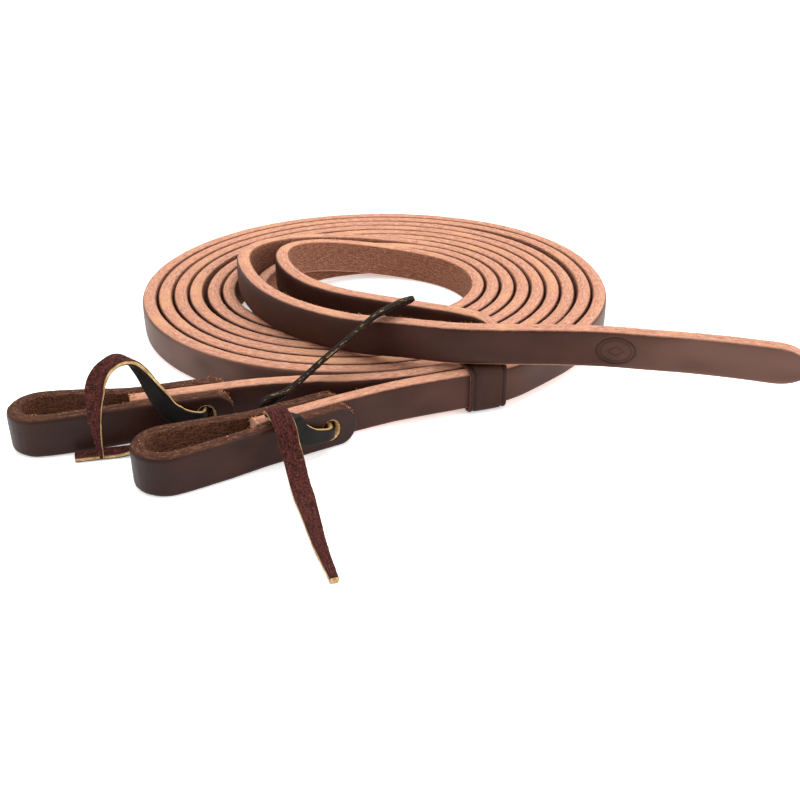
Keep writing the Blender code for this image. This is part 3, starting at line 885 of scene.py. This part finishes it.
@dataclass(frozen=True)
class OvalMark:
    """A maker's plain double oval, pressed into the grain with a heated stamp."""

    where: float = 0.0998
    half_length: float = 0.0074
    half_height: float = 0.0054
    depth: float = 0.00055
    line: float = 0.00040

    def depth_at(self, along: np.ndarray, up: np.ndarray) -> np.ndarray:
        """Works out how deep the stamp goes.

        Args:
            along: how far from its middle along the strap.
            up: how far above its middle.

        Returns:
            The depth, from 0 to 1.
        """
        rho = np.hypot(along / self.half_length, up / self.half_height)
        size = (self.half_length + self.half_height) / 2
        outer = np.exp(-(((rho - 1) * size / self.line) ** 2))
        inner = np.exp(-(((rho - 0.80) * size / (self.line * 0.75)) ** 2)) * 0.65
        diamond = np.abs(along / self.half_length) / 0.42 + np.abs(up / self.half_height) / 0.34
        lozenge = np.exp(-(((diamond - 1) * 0.0022 / self.line) ** 2)) * 0.55
        bed = eased(1.06 - rho, 0, 0.12) * 0.18
        return np.clip(np.maximum.reduce([outer, inner, lozenge]) + bed, 0, 1)

    def press(self, piece: bpy.types.Object, strip: Strip) -> None:
        """Presses the mark into the strap's grain side.

        Args:
            piece: the strap's object.
            strip: its rings.
        """
        tail = np.arange(len(strip.centres)) > len(strip.centres) * 0.8
        reach = np.abs(strip.centres[:, 0] - self.where - SHIFT.x)
        ring = int(np.argmin(np.where(tail, reach, 9)))
        middle = Vector(strip.centres[ring])
        run = Vector(strip.along[ring])
        out = Vector(strip.facing[ring]).normalized()
        bm = bmesh.new()
        bm.from_mesh(piece.data)
        layer = bm.verts.layers.float[Side.GRAIN.value]
        rubbed_and_shade = bm.verts.layers.float[Side.RUBBED_AND_SHADE.value]

        def near(vert: Any) -> bool:
            """Whether a corner is on the grain side, where the stamp goes."""
            off = vert.co - middle
            in_reach = abs(off.dot(run)) < self.half_length * 1.35 and abs(off.z) < 0.0075
            return vert[layer] > 0.99 and in_reach and off.dot(out) > 0.002

        faces = [f for f in bm.faces if all(near(v) for v in f.verts)]
        edges = list({e for f in faces for e in f.edges})
        bmesh.ops.subdivide_edges(bm, edges=edges, cuts=6, use_grid_fill=True)
        for vert in bm.verts:
            off = vert.co - middle
            in_reach = abs(off.dot(run)) < self.half_length * 1.4 and abs(off.z) < 0.0076
            if in_reach and 0.002 < off.dot(out) < 0.006:
                deep = float(self.depth_at(np.array(off.dot(run)), np.array(off.z)))
                vert.co -= out * deep * self.depth
                # The pressed lines are also painted darker: painted shade in the sunk stamp
                vert[rubbed_and_shade] = max(vert[rubbed_and_shade], 0.42 * deep)
        bm.to_mesh(piece.data)
        bm.free()
        piece.data.shade_smooth()


def slack_at(angle: float) -> float:
    """Adds up how far the turns are pressed in.

    Args:
        angle: the running angle, in degrees.

    Returns:
        The distance inwards.
    """
    inward = 0.0
    for slack in SIZES.slacks:
        if slack.first <= angle < slack.last:
            away = (angle - slack.middle + 180) % 360 - 180
            inward += slack.inward * math.exp(-((away / slack.spread) ** 2))
    return inward


@dataclass(frozen=True)
class Rein:
    """One rein: from its bit end through the keeper, round the coil and off as a free tail."""

    name: str
    hole: Place
    layer: int
    coil_end: int
    lead: tuple[Row, ...]
    tail: tuple[Row, ...]
    climb: tuple[float, float] | None
    seed: int
    length: float
    station: float = 0.0015
    mark: OvalMark | None = None

    def coil_point(self, angle: float) -> Row:
        """Finds the middle of the strap in the coil.

        Args:
            angle: the running angle, in degrees.

        Returns:
            Its x and y, and the height of its lower edge.
        """
        turn = math.radians(angle)
        radius = SIZES.coil_radius - SIZES.strap_thickness / 2 - SIZES.pitch * (2 * angle / 360 + self.layer)
        radius += SIZES.pitch * float(eased(angle, SIZES.front_coil_end - 27, SIZES.front_coil_end + 153))
        radius += SIZES.coil_oval * math.cos(2 * turn) + SIZES.coil_skew * math.sin(2 * turn)
        radius -= slack_at(angle)
        height = SIZES.keeper_lift * (1 - float(eased(angle, SIZES.coil_start, SIZES.coil_start + 60)))
        height += SIZES.stack_height * float(eased(angle, self.coil_end - SIZES.climb_angle, self.coil_end))
        return (radius * math.cos(turn), radius * math.sin(turn), height)

    def route(self) -> np.ndarray:
        """Lays out the strap's middle line in the coil's own frame.

        Returns:
            Rows of x, y and the height of the lower edge.
        """
        stations = (-SIZES.rein_end_from_hole, -SIZES.rein_end_from_hole / 2, 0.0, SIZES.tab_end_from_hole)
        points = [(*at(self.hole, along), 0.0) for along in stations]
        steps = len(self.lead) + 1
        for step, (x, y) in enumerate(self.lead, start=1):
            points.append((x, y, SIZES.keeper_lift * float(eased(step, 0, steps))))
        for step in range(4):
            spot = at(KEEPER_START, SIZES.keeper_stretch * step / 3, SIZES.pitch * self.layer)
            points.append((*spot, SIZES.keeper_lift))
        points += [self.coil_point(a) for a in range(SIZES.coil_start, self.coil_end + 1, SIZES.coil_step)]
        for x, y in self.tail:
            rise = 0.0 if self.climb is None else float(eased(x, *self.climb))
            points.append((x, y, SIZES.stack_height + (SIZES.tail_height - SIZES.stack_height) * rise))
        ready = len(points) - len(self.tail)
        route = respaced(smooth(points, self.station), self.station)
        reach = travelled(route)
        joint = travelled(smooth(points[:ready], self.station))[-1]
        stiff = np.exp(-(((reach - joint) / 0.035) ** 2))[:, None]
        return relaxed(route, 2.5) * (1 - stiff) + relaxed(route, 9.0) * stiff

    def strip(self) -> Strip:
        """Lays the strap's rings out, with its rounded tail tip, its wear and its painted sheen.

        Returns:
            The rings.
        """
        route = self.route()
        reach = travelled(route)
        along = np.gradient(route, axis=0)
        facing = np.column_stack([along[:, 1], -along[:, 0], np.zeros(len(route))])
        centres = route + (0, 0, MIDDLE) + np.array(SHIFT)
        from_tip = np.clip(1 - (reach[-1] - reach) / SIZES.tail_point, 0, 0.985)
        rng = np.random.default_rng(self.seed)
        wander = field_of(rng, len(route), 2, 0.03 / self.station, 1)
        widths = SIZES.strap_width * np.sqrt(1 - from_tip**2) + 0.00006 * wander[:, 0]
        thicknesses = np.full(len(route), SIZES.strap_thickness) + 0.00012 * wander[:, 1]
        section = Section(
            width=SIZES.strap_width,
            thickness=SIZES.strap_thickness,
            grain_corner=0.0022,
            flesh_corner=0.0018,
            crown=0.00038,
            edge_faces=8,
            grain_faces=7,
            corner_faces=5,
        )
        columns = len(section.outline()[0])
        # The grain is painted paler on the outside turn and towards the tip: partly wear where the strap has
        # been bent and handled, partly painted sheen standing in for light glancing off the tail
        worn_and_sheen = np.zeros(len(route))
        if self.mark:
            worn_and_sheen = 0.85 * np.exp(-(((reach - 0.46) / 0.34) ** 2))
            worn_and_sheen = worn_and_sheen + 0.80 * eased(reach, reach[-1] - 0.11, reach[-1] - 0.02)
        patchy = field_of(rng, len(route), columns, 0.012 / self.station, 4)
        worn_and_sheen = np.clip(worn_and_sheen[:, None] * (1 + 0.35 * patchy), 0, 1)
        return Strip(
            self.name, centres, facing, widths, thicknesses, section, self.seed, worn_and_sheen=worn_and_sheen, rest_on=0.0
        )

    def build(self) -> bpy.types.Object:
        """Returns:
            The strap.
        """
        strip = self.strip()
        strap = strip.strip_mesh(HARNESS)
        if self.mark:
            self.mark.press(strap, strip)
        LaceHole(self.hole, SHIFT, flare=0.0).punch(strap, SIZES.sandwich_half)
        reach = travelled(strip.centres)
        LOG.info("%s: %.0f mm long, %d faces", self.name, 1000 * reach[-1], len(strap.data.polygons))
        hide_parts(f"rein_strap_{self.name.rsplit('_', 1)[1]}")
        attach(strap, REINS_BODY)
        self.tufts(strip)
        return strap

    def tufts(self, strip: Strip) -> None:
        """Grows loose fibres along the cut edges, thickest on the tail and at the bit end.

        Args:
            strip: the strap's rings.
        """
        rng = np.random.default_rng(self.seed + 50)
        rows = len(strip.centres)
        first = strip.section.flesh_faces + strip.section.corner_faces // 2 - 1
        last = first + strip.section.edge_faces + strip.section.corner_faces
        picks = []
        for _ in range(520):
            anywhere = rng.random() < 0.45
            ring = int(rng.integers(4, rows - 4)) if anywhere else int(rows - 5 - rng.random() ** 1.2 * 190)
            column = first + int(rng.random() ** 2.2 * (last - first))
            picks.append((ring, column))
        for _ in range(150):
            picks.append((int(rng.integers(0, 2)), int(rng.integers(0, strip.rings.shape[1]))))
        tufts = FibreTufts(f"{self.name}_fibres", EDGE_FIBRE, self.seed + 60, length=0.0009).grow(strip, picks)
        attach(tufts, REINS_BODY)
        LOG.info("%s: %d strands", tufts.name, len(picks))


@dataclass(frozen=True)
class WaterLoop:
    """A short strap folded round into a loop, with its two ends lying on the faces of a rein's end."""

    name: str
    node: str
    hole: Place
    seed: int
    opening_length: float = 0.0395
    opening_width: float = 0.0146
    opening_sway: float = 0.0026
    opening_belly: float = 0.0006
    tab_spread: float = 0.0002
    tab_round: float = 0.006
    station: float = 0.0007

    def route(self) -> np.ndarray:
        """Lays out the loop's middle line, from the far tab's end round to the near one's.

        Returns:
            Rows on the ground plan.
        """
        half = (self.opening_width + SIZES.loop_thickness) / 2
        tab_offset = SIZES.sandwich_half - SIZES.loop_thickness / 2
        back = -SIZES.rein_end_from_hole
        nose = back - self.opening_length + self.opening_width / 2
        tab = [(along, tab_offset) for along in (SIZES.tab_end_from_hole, 0.0, back / 2)]
        tab.append((back, tab_offset + self.tab_spread))
        flare = (back + nose) / 2
        near = [(along, -across) for along, across in tab]
        belly = (tab_offset + half) / 2 + self.opening_belly
        near.append((flare, -belly + self.opening_sway / 2))
        far = [(flare, belly + self.opening_sway / 2), *reversed(tab)]
        bend = []
        for step in range(9):
            turn = math.radians(270 - 180 * step / 8)
            bend.append((nose + half * math.cos(turn), self.opening_sway + half * math.sin(turn)))
        plan = [(*at(self.hole, along, across), 0.0) for along, across in near + bend + far]
        return respaced(smooth(plan[::-1], self.station), self.station)

    def build(self) -> bpy.types.Object:
        """Makes the loop, punches it and lets a few fibres stand up at its cut ends.

        Returns:
            The loop.
        """
        route = self.route()
        reach = travelled(route)
        along = np.gradient(route, axis=0)
        facing = np.column_stack([along[:, 1], -along[:, 0], np.zeros(len(route))])
        centres = route + (0, 0, MIDDLE) + np.array(SHIFT)
        shares = np.ones(len(route))
        for distance in (reach, reach[-1] - reach):
            shares = np.minimum(shares, np.sqrt(1 - np.clip(1 - distance / self.tab_round, 0, 0.95) ** 2))
        section = Section(
            width=SIZES.strap_width,
            thickness=SIZES.loop_thickness,
            grain_corner=0.0018,
            flesh_corner=0.0010,
            crown=0.00030,
            edge_faces=9,
            grain_faces=16,
            corner_faces=5,
        )
        rows = len(route)
        outline, _ = section.outline()
        rng = np.random.default_rng(self.seed)
        # Creases of the tight bend round the nose, and burnish where it wears
        bent = np.exp(-(((reach - reach[-1] / 2) / 0.014) ** 2))
        creases = field_of(rng, rows, len(outline), 0.0011 / self.station, 9) * bent[:, None] * 0.00009
        rubbed_and_shade = np.clip(field_of(rng, rows, len(outline), 0.008 / self.station, 6), 0, 1)
        rubbed_and_shade = rubbed_and_shade * bent[:, None] * 0.35
        strip = Strip(
            self.name,
            centres,
            facing,
            SIZES.strap_width * shares,
            np.full(rows, SIZES.loop_thickness),
            section,
            self.seed,
            roughness=0.8,
            rubbed_and_shade=rubbed_and_shade,
            relief=creases,
            rest_on=0.0,
        )
        loop = strip.strip_mesh(OILED)
        LaceHole(self.hole, SHIFT).punch(loop, SIZES.sandwich_half)
        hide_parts(self.node)
        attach(loop, REINS_BODY)
        top = section.flesh_faces + section.corner_faces // 2
        ends = [*range(7), *(rows - 1 - ring for ring in range(7))]
        picks = [(ends[int(rng.integers(0, 14))], int(rng.integers(top, top + 9))) for _ in range(110)]
        picks += [(int(rng.integers(0, rows)), int(rng.integers(top, top + 10))) for _ in range(60)]
        planter = FibreTufts(f"{self.name}_fibres", EDGE_FIBRE, self.seed + 60, 0.0009, 0.00012)
        tufts = planter.grow(strip, picks)
        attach(tufts, REINS_BODY)
        LOG.info("%s: %.0f mm of strap, %d faces", self.name, 1000 * reach[-1], len(loop.data.polygons))
        return loop


@dataclass(frozen=True)
class TieLace:
    """A flat latigo lace, rolled narrow where it passes through the holes of a sandwich."""

    name: str
    node: str
    hole: Place
    points: tuple[Row, ...]
    rolled_size: tuple[float, float]
    start: tuple[float, float]
    end: tuple[float, float]
    seed: int
    length: float
    grubby: tuple[float, float] = (9.0, 9.1)
    station: float = 0.0006

    def build(self) -> bpy.types.Object:
        """Returns:
            The lace.
        """
        rows = []
        for along, across, height, rolled, face_along, face_across, face_up in self.points:
            facing = at(Place(0, 0, self.hole.heading), face_along, face_across)
            rows.append((*at(self.hole, along, across), height, rolled, *facing, face_up))
        route = respaced(smooth(rows, self.station), self.station)
        reach = travelled(route)
        rolled = np.clip(route[:, 3], 0, 1)
        rng = np.random.default_rng(self.seed)
        # Laces are cut by hand from the hide, so their width wanders
        wander = field_of(rng, len(route), 1, 0.009 / self.station, 1)[:, 0]
        widths = SIZES.lace_width * (0.985 + 0.03 * wander) + (self.rolled_size[0] - SIZES.lace_width) * rolled
        for distance, (taper, tip) in ((reach, self.start), (reach[-1] - reach, self.end)):
            widths *= np.clip(tip + (1 - tip) * distance / taper, 0, 1)
        thicknesses = SIZES.lace_thickness + (self.rolled_size[1] - SIZES.lace_thickness) * rolled
        section = Section(
            width=SIZES.lace_width,
            thickness=SIZES.lace_thickness,
            grain_corner=0.00085,
            flesh_corner=0.00070,
            crown=0.00005,
            edge_faces=4,
            grain_faces=8,
            flesh_faces=10,
            corner_faces=3,
        )
        # Waxed dirt covers most of the cut edge, apart from a few pale flecks
        flecks = field_of(rng, len(route), len(section.outline()[0]), 0.0012 / self.station, 1.3)
        dirt = eased(reach / reach[-1], *self.grubby)[:, None] * (1 - 0.6 * eased(flecks, 0.25, 0.55))
        strip = Strip(
            self.name,
            route[:, :3] + np.array(SHIFT),
            route[:, 4:7],
            widths,
            thicknesses,
            section,
            self.seed,
            roughness=0.8,
            rubbed_and_shade=dirt,
            rest_on=0.0,
        )
        lace = strip.strip_mesh(LATIGO)
        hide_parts(self.node)
        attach(lace, REINS_BODY)
        picks = [
            (int(rng.integers(2, len(route) - 2)), int(rng.integers(0, section.flesh_faces + 2)))
            for _ in range(420)
        ]
        tufts = FibreTufts(f"{self.name}_nap", LATIGO_FIBRE, self.seed + 60, length=0.0006, radius=0.00007)
        nap = tufts.grow(strip, picks)
        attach(nap, REINS_BODY)
        LOG.info("%s: %.0f mm long, %d faces", self.name, 1000 * reach[-1], len(lace.data.polygons))
        return lace


@dataclass(frozen=True)
class KeeperBand:
    """A sliding band of thin leather round both leads, creased along its two edges."""

    name: str = "keeper_band_boned"
    seed: int = 31
    corner: float = 0.0026
    crease_in: float = 0.0019
    crease_depth: float = 0.00050
    crease_width: float = 0.00055

    def build(self) -> bpy.types.Object:
        """Makes the band.

        Returns:
            The band, on the keeper's body.
        """
        shell = SIZES.keeper_clearance + SIZES.keeper_thickness / 2
        half_out = SIZES.strap_thickness + SIZES.turn_gap / 2 + shell
        half_up = MIDDLE + shell
        place = Place(*at(KEEPER_START, SIZES.keeper_rest, SIZES.pitch / 2), KEEPER_START.heading)
        run = Vector((math.cos(math.radians(place.heading)), math.sin(math.radians(place.heading)), 0))
        left = Vector((-run.y, run.x, 0))
        middle = Vector((place.x, place.y, SIZES.keeper_lift + MIDDLE)) + SHIFT
        flat: list[tuple[float, float, float, float]] = []
        corners = ((1, 1, 0), (-1, 1, 90), (-1, -1, 180), (1, -1, 270))
        for out, up, first in corners:
            for step in range(9):
                turn = math.radians(first + 90 * step / 8)
                spot = (
                    out * (half_out - self.corner) + self.corner * math.cos(turn),
                    up * (half_up - self.corner) + self.corner * math.sin(turn),
                )
                flat.append((*spot, math.cos(turn), math.sin(turn)))
        flat.append(flat[0])
        plan = np.array(flat)
        reach = np.append(0, np.cumsum(np.linalg.norm(np.diff(plan[:, :2], axis=0), axis=1)))
        marks = np.linspace(0, reach[-1], 150, endpoint=False)
        plan = np.column_stack([np.interp(marks, reach, column) for column in plan.T])
        centres = np.array([middle + left * o + Vector((0, 0, u)) for o, u in plan[:, :2]])
        facing = np.array([left * o + Vector((0, 0, u)) for o, u in plan[:, 2:]])
        section = Section(
            width=SIZES.keeper_length,
            thickness=SIZES.keeper_thickness,
            grain_corner=0.0006,
            flesh_corner=0.0003,
            edge_faces=3,
            grain_faces=56,
            flesh_faces=6,
            corner_faces=3,
        )
        outline, sides = section.outline()
        from_crease = np.abs(outline[:, 0]) - section.width / 2 + self.crease_in
        groove = np.exp(-((from_crease / self.crease_width) ** 2))
        groove *= sides[Side.GRAIN]
        rng = np.random.default_rng(self.seed)
        wear = field_of(rng, len(centres), len(outline), 14, 12)
        relief = -groove[None, :] * self.crease_depth * (0.85 + 0.15 * wear)
        belly = (1 - (outline[:, 0] / (section.width / 2)) ** 2) * sides[Side.GRAIN] * 0.00012
        # Painted shade darkens the crease grooves; the patchy darkening on the grain is wear
        rubbed_and_shade = np.clip(groove[None, :] * 0.55 + 0.20 * np.clip(wear, 0, 1) * sides[Side.GRAIN], 0, 1)
        strip = Strip(
            self.name,
            centres,
            facing,
            np.full(len(centres), section.width),
            np.full(len(centres), section.thickness),
            section,
            self.seed,
            roughness=0.5,
            closed=True,
            rubbed_and_shade=rubbed_and_shade,
            relief=relief + belly[None, :],
            rest_on=0.0,
        )
        band = strip.strip_mesh(SKIRTING)
        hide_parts("keeper_band")
        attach(band, KEEPER_BODY)
        LOG.info("%s: %d faces", self.name, len(band.data.polygons))
        return band


@dataclass(frozen=True)
class Studio:
    """A white table in soft light, and the camera."""

    camera_place: Row = (-0.00406, -0.40164, 0.19538)
    camera_tilt: float = 61.66
    lens: float = 45.24
    world_strength: float = 0.80

    def build(self) -> None:
        """Sets up the camera, the floor and the lights."""
        scene = bpy.context.scene
        scene.view_settings.view_transform = "Standard"
        camera = bpy.data.cameras.new("camera")
        camera.lens = self.lens
        camera.sensor_width = 36.0
        camera.clip_start = 0.01
        view = bpy.data.objects.new("camera", camera)
        view.location = self.camera_place
        view.rotation_euler = (math.radians(self.camera_tilt), 0, 0)
        scene.collection.objects.link(view)
        scene.camera = view
        world = bpy.data.worlds.new("soft_white")
        world.use_nodes = True
        world.node_tree.nodes["Background"].inputs["Color"].default_value = (1, 1, 1, 1)
        world.node_tree.nodes["Background"].inputs["Strength"].default_value = self.world_strength
        scene.world = world
        self.floor()
        self.softbox("overhead_softbox", (0.05, 0.25, 0.95), 0.9, 11.0)
        self.softbox("left_softbox", (-0.9, -0.2, 0.45), 0.5, 1.5)
        self.softbox("right_softbox", (0.95, -0.35, 0.40), 0.5, 5.0)

    def softbox(self, name: str, place: Row, size: float, power: float) -> None:
        """Hangs a square soft light, aimed at the coil.

        Args:
            name: what it is called.
            place: where it hangs.
            size: the length of its side.
            power: in watts.
        """
        light = bpy.data.lights.new(name, "AREA")
        light.size = size
        light.energy = power
        lamp = bpy.data.objects.new(name, light)
        lamp.location = place
        lamp.rotation_mode = "QUATERNION"
        lamp.rotation_quaternion = (-Vector(place)).to_track_quat("-Z", "Y")
        bpy.context.scene.collection.objects.link(lamp)

    def floor(self) -> None:
        """Lays the white table top, which is not part of the object."""
        mesh = bpy.data.meshes.new("table_top")
        half = 4.0
        corners = [(-half, -half, 0), (half, -half, 0), (half, half, 0), (-half, half, 0)]
        mesh.from_pydata(corners, [], [(0, 1, 2, 3)])
        # Matt white laminate: it has no gloss, so that it never shows a reflection
        paint = bpy.data.materials.new("laminate_matt_white")
        paint.use_nodes = True
        shader = paint.node_tree.nodes["Principled BSDF"]
        shader.inputs["Base Color"].default_value = (0.94, 0.94, 0.94, 1)
        shader.inputs["Roughness"].default_value = 1.0
        shader.inputs["Specular IOR Level"].default_value = 0.0
        shader.inputs["Emission Color"].default_value = (1, 1, 1, 1)
        shader.inputs["Emission Strength"].default_value = 0.42
        mesh.materials.append(paint)
        top = bpy.data.objects.new("table_top", mesh)
        top.location.z = -0.00005
        bpy.context.scene.collection.objects.link(top)


def through_holes(side: int, height: float) -> tuple[Row, ...]:
    """Leads a lace from one face of the sandwich through the holes to the other.

    Args:
        side: the face that it starts from, -1 near or 1 far.
        height: how high it runs.

    Returns:
        Points along, across and up from the hole, how far the lace is rolled, and its facing.
    """
    inside = LACE_FACE - 0.0026
    return (
        (-0.0014, side * (LACE_FACE + 0.0002), height, 1, 0.8, side * 0.6, 0),
        (0.0, side * inside, height, 1, 1, side * 0.1, 0),
        (0.0, 0.0, height, 1, 1, 0, 0),
        (0.0, -side * inside, height, 1, 1, -side * 0.1, 0),
        (-0.0014, -side * (LACE_FACE + 0.0002), height, 1, 0.8, -side * 0.6, 0),
    )


def front_lace_points() -> tuple[Row, ...]:
    """Leads the front lace from its tip on the ground, over the sandwich, through it and up onto the tail.

    Returns:
        Points as through_holes gives them.
    """
    over_tail = SIZES.tail_height + SIZES.strap_width + SIZES.lace_width * 0.37
    edge_on = (-0.39, 0.56, 0.68)
    return (
        (-0.0363, -0.0797, LACE_GROUND, 0, 0, 0, -1),
        (-0.0322, -0.0620, LACE_GROUND, 0, 0, 0, -1),
        (-0.0281, -0.0480, LACE_GROUND, 0, 0, 0, -1),
        (-0.0250, -0.0370, LACE_GROUND + 0.0003, 0, 0, 0.1, -1),
        (-0.0228, -0.0280, LACE_GROUND + 0.0022, 0, 0.15, 0.5, -1),
        (-0.0212, -0.0212, LACE_GROUND + 0.0066, 0, 0.5, 1, -0.6),
        (-0.0207, -0.0170, MIDDLE + 0.0040, 0, 0.6, 1, -0.2),
        (-0.0206, -0.0142, LACE_TOP, 0, 0.5, 0.9, -0.5),
        (-0.0205, -0.0100, LACE_TOP + 0.0026, 0, 0.3, 0.2, -1),
        (-0.0204, -0.0050, LACE_TOP + 0.0030, 0, 0, 0, -1),
        (-0.0200, -0.0022, LACE_TOP + 0.0015, 0, 0, -1, 0),
        (-0.0190, -0.0048, LACE_TOP, 0, 0, 0, 1),
        (-0.0172, -SIZES.sandwich_half + 0.0006, LACE_TOP, 0, 0, -0.2, 1),
        (-0.0158, -LACE_CORNER_OUT - 0.0002, LACE_CORNER_UP - 0.0004, 0, 0, -0.8, 0.6),
        (-0.0138, -LACE_FACE - 0.0008, MIDDLE + 0.0046, 0, 0, -1, 0),
        (-0.0096, -LACE_FACE - 0.0012, MIDDLE + 0.0014, 0.2, 0.1, -1, 0),
        (-0.0052, -LACE_FACE - 0.0008, MIDDLE + 0.0004, 0.7, 0.2, -1, 0),
        *through_holes(-1, MIDDLE),
        (-0.0060, LACE_FACE + 0.0008, MIDDLE + 0.0005, 0.8, 0.2, 1, 0),
        (-0.0110, LACE_FACE + 0.0009, MIDDLE + 0.0018, 0.6, 0, 1, 0),
        (-0.0155, LACE_FACE + 0.0010, MIDDLE + 0.0035, 0.6, -0.1, 1, 0.1),
        (-0.0180, LACE_FACE + 0.0012, MIDDLE + 0.0055, 0.6, -0.2, 0.9, 0.2),
        (-0.0160, LACE_FACE + 0.0016, MIDDLE + 0.0072, 0.5, -0.3, 0.8, 0.4),
        (-0.0092, LACE_FACE + 0.0018, LACE_TOP - 0.0008, 0.3, *edge_on),
        (-0.0021, 0.0128, LACE_TOP + 0.0022, 0.1, *edge_on),
        (0.0084, 0.0136, LACE_TOP + 0.0080, 0, *edge_on),
        (0.0206, 0.0147, LACE_TOP + 0.0140, 0, *edge_on),
        (0.0328, 0.0157, over_tail - 0.0010, 0, *edge_on),
        (0.0398, 0.0164, over_tail + 0.0006, 0, *edge_on),
        (0.0446, 0.0170, over_tail + 0.0014, 0, *edge_on),
        (0.0515, 0.0184, over_tail + 0.0012, 0, *edge_on),
    )


def rear_lace_points() -> tuple[Row, ...]:
    """Leads the rear lace from its end on the ground, through the holes and back, and over in an arc.

    Returns:
        Points as through_holes gives them.
    """
    low, high = MIDDLE - 0.00142, MIDDLE + 0.00142
    return (
        (-0.0490, -0.0146, LACE_GROUND, 0, 0, 0, -1),
        (-0.0410, -0.0147, LACE_GROUND, 0, 0, 0, -1),
        (-0.0310, -0.0151, LACE_GROUND, 0, 0, -0.1, -1),
        (-0.0225, -0.0158, LACE_GROUND + 0.0014, 0, 0.1, -0.7, -0.7),
        (-0.0160, -0.0152, LACE_GROUND + 0.0034, 0, 0.2, -1, -0.2),
        (-0.0105, -0.0132, low - 0.0018, 0.3, 0.2, -1, 0),
        (-0.0055, -LACE_FACE - 0.0006, low - 0.0006, 0.9, 0.3, -1, 0),
        *through_holes(-1, low)[:-1],
        (0.0, LACE_FACE + 0.0004, low + 0.0003, 1, 1, 0, 0),
        (0.0, LACE_FACE + 0.0014, MIDDLE, 1, 1, 0, 0),
        (0.0, LACE_FACE + 0.0004, high - 0.0003, 1, 1, 0, 0),
        *through_holes(1, high)[1:],
        (-0.0055, -LACE_FACE - 0.0006, high + 0.0006, 0.8, 0.3, -1, 0),
        (-0.0100, -LACE_FACE - 0.0012, high + 0.0016, 0.1, 0.1, -1, 0),
        (-0.0136, -LACE_FACE - 0.0018, MIDDLE + 0.0062, 0, 0.0, -1, -0.1),
        (-0.0163, -0.0130, LACE_TOP + 0.0024, 0, -0.2, -1, -0.2),
        (-0.0190, -0.0139, LACE_TOP + 0.0088, 0, -0.5, -0.8, -0.3),
        (-0.0218, -0.0146, LACE_TOP + 0.0152, 0, -0.6, -0.6, -0.5),
        (-0.0252, -0.0153, LACE_TOP + 0.0202, 0, -0.3, -0.3, -0.9),
        (-0.0293, -0.0162, LACE_TOP + 0.0216, 0, 0.2, 0.1, -1),
        (-0.0336, -0.0171, LACE_TOP + 0.0198, 0, 0.6, 0.4, -0.7),
        (-0.0372, -0.0178, LACE_TOP + 0.0155, 0, 0.6, 0.8, -0.4),
        (-0.0392, -0.0184, LACE_TOP + 0.0085, 0, 0.4, 1, -0.1),
        (-0.0400, -0.0190, LACE_TOP, 0, 0.4, 1, 0),
        (-0.0399, -0.0206, LACE_TOP - 0.0080, 0, 0.4, 1, -0.1),
        (-0.0394, -0.0228, LACE_GROUND + 0.0029, 0, 0.3, 1, -0.2),
    )


FRONT_REIN = Rein(
    name="rein_front",
    hole=FRONT_HOLE,
    layer=0,
    coil_end=1287,
    lead=((0.0048, -0.1126), (0.0140, -0.1096)),
    tail=(
        (-0.0505, -0.0365),
        (-0.0425, -0.0490),
        (-0.0328, -0.0604),
        (-0.0153, -0.0735),
        (0.0006, -0.0836),
        (0.0164, -0.0906),
        (0.0355, -0.0958),
        (0.0548, -0.0972),
        (0.0740, -0.0976),
        (0.0927, -0.0988),
        (0.1115, -0.1023),
        (0.1298, -0.1058),
        (0.1474, -0.1106),
        (0.1590, -0.1144),
        (0.1690, -0.1178),
    ),
    climb=(-0.015, 0.022),
    seed=11,
    length=2.4,
    mark=OvalMark(),
)
REAR_REIN = Rein(
    name="rein_rear",
    hole=REAR_HOLE,
    layer=1,
    coil_end=1638,
    lead=((-0.0380, -0.1047), (-0.0220, -0.1036), (-0.0050, -0.1037), (0.0100, -0.1024)),
    tail=(
        (-0.0360, -0.0240),
        (-0.0300, -0.0345),
        (-0.0205, -0.0440),
        (-0.0087, -0.0519),
        (0.0169, -0.0629),
        (0.0374, -0.0714),
        (0.0493, -0.0775),
        (0.0558, -0.0815),
    ),
    climb=None,
    seed=12,
    length=2.4,
)
SHIFT = Vector((0.0, 0.0, 0.0))


def place_in_frame() -> None:
    """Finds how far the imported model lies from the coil's own frame, from the keeper band."""
    low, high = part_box("keeper_band")
    x, y = at(KEEPER_START, SIZES.keeper_rest, SIZES.pitch / 2)
    SHIFT.x = (low.x + high.x) / 2 - x
    SHIFT.y = (low.y + high.y) / 2 - y


def main() -> None:
    """Builds the studio and then each sub-assembly, in the order that a harness maker would."""
    logging.basicConfig(level=logging.INFO, format="%(name)s: %(message)s")
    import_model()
    place_in_frame()
    Studio().build()
    LOG.info("studio ready")
    FRONT_REIN.build()
    REAR_REIN.build()
    WaterLoop("loop_front", "water_loop_front", FRONT_HOLE, 21).build()
    WaterLoop("loop_rear", "water_loop_rear", REAR_HOLE, 22).build()
    KeeperBand().build()
    TieLace(
        name="lace_front",
        node="tie_lace_front",
        hole=FRONT_HOLE,
        points=front_lace_points(),
        rolled_size=(0.0042, 0.0028),
        start=(0.046, 0.4),
        end=(0.010, 0.5),
        seed=41,
        length=0.22,
        grubby=(0.60, 0.66),
    ).build()
    TieLace(
        name="lace_rear",
        node="tie_lace_rear",
        hole=REAR_HOLE,
        points=rear_lace_points(),
        rolled_size=(0.0025, 0.0024),
        start=(0.030, 0.6),
        end=(0.026, 0.15),
        seed=42,
        length=0.17,
    ).build()


if __name__ == "__main__":
    main()
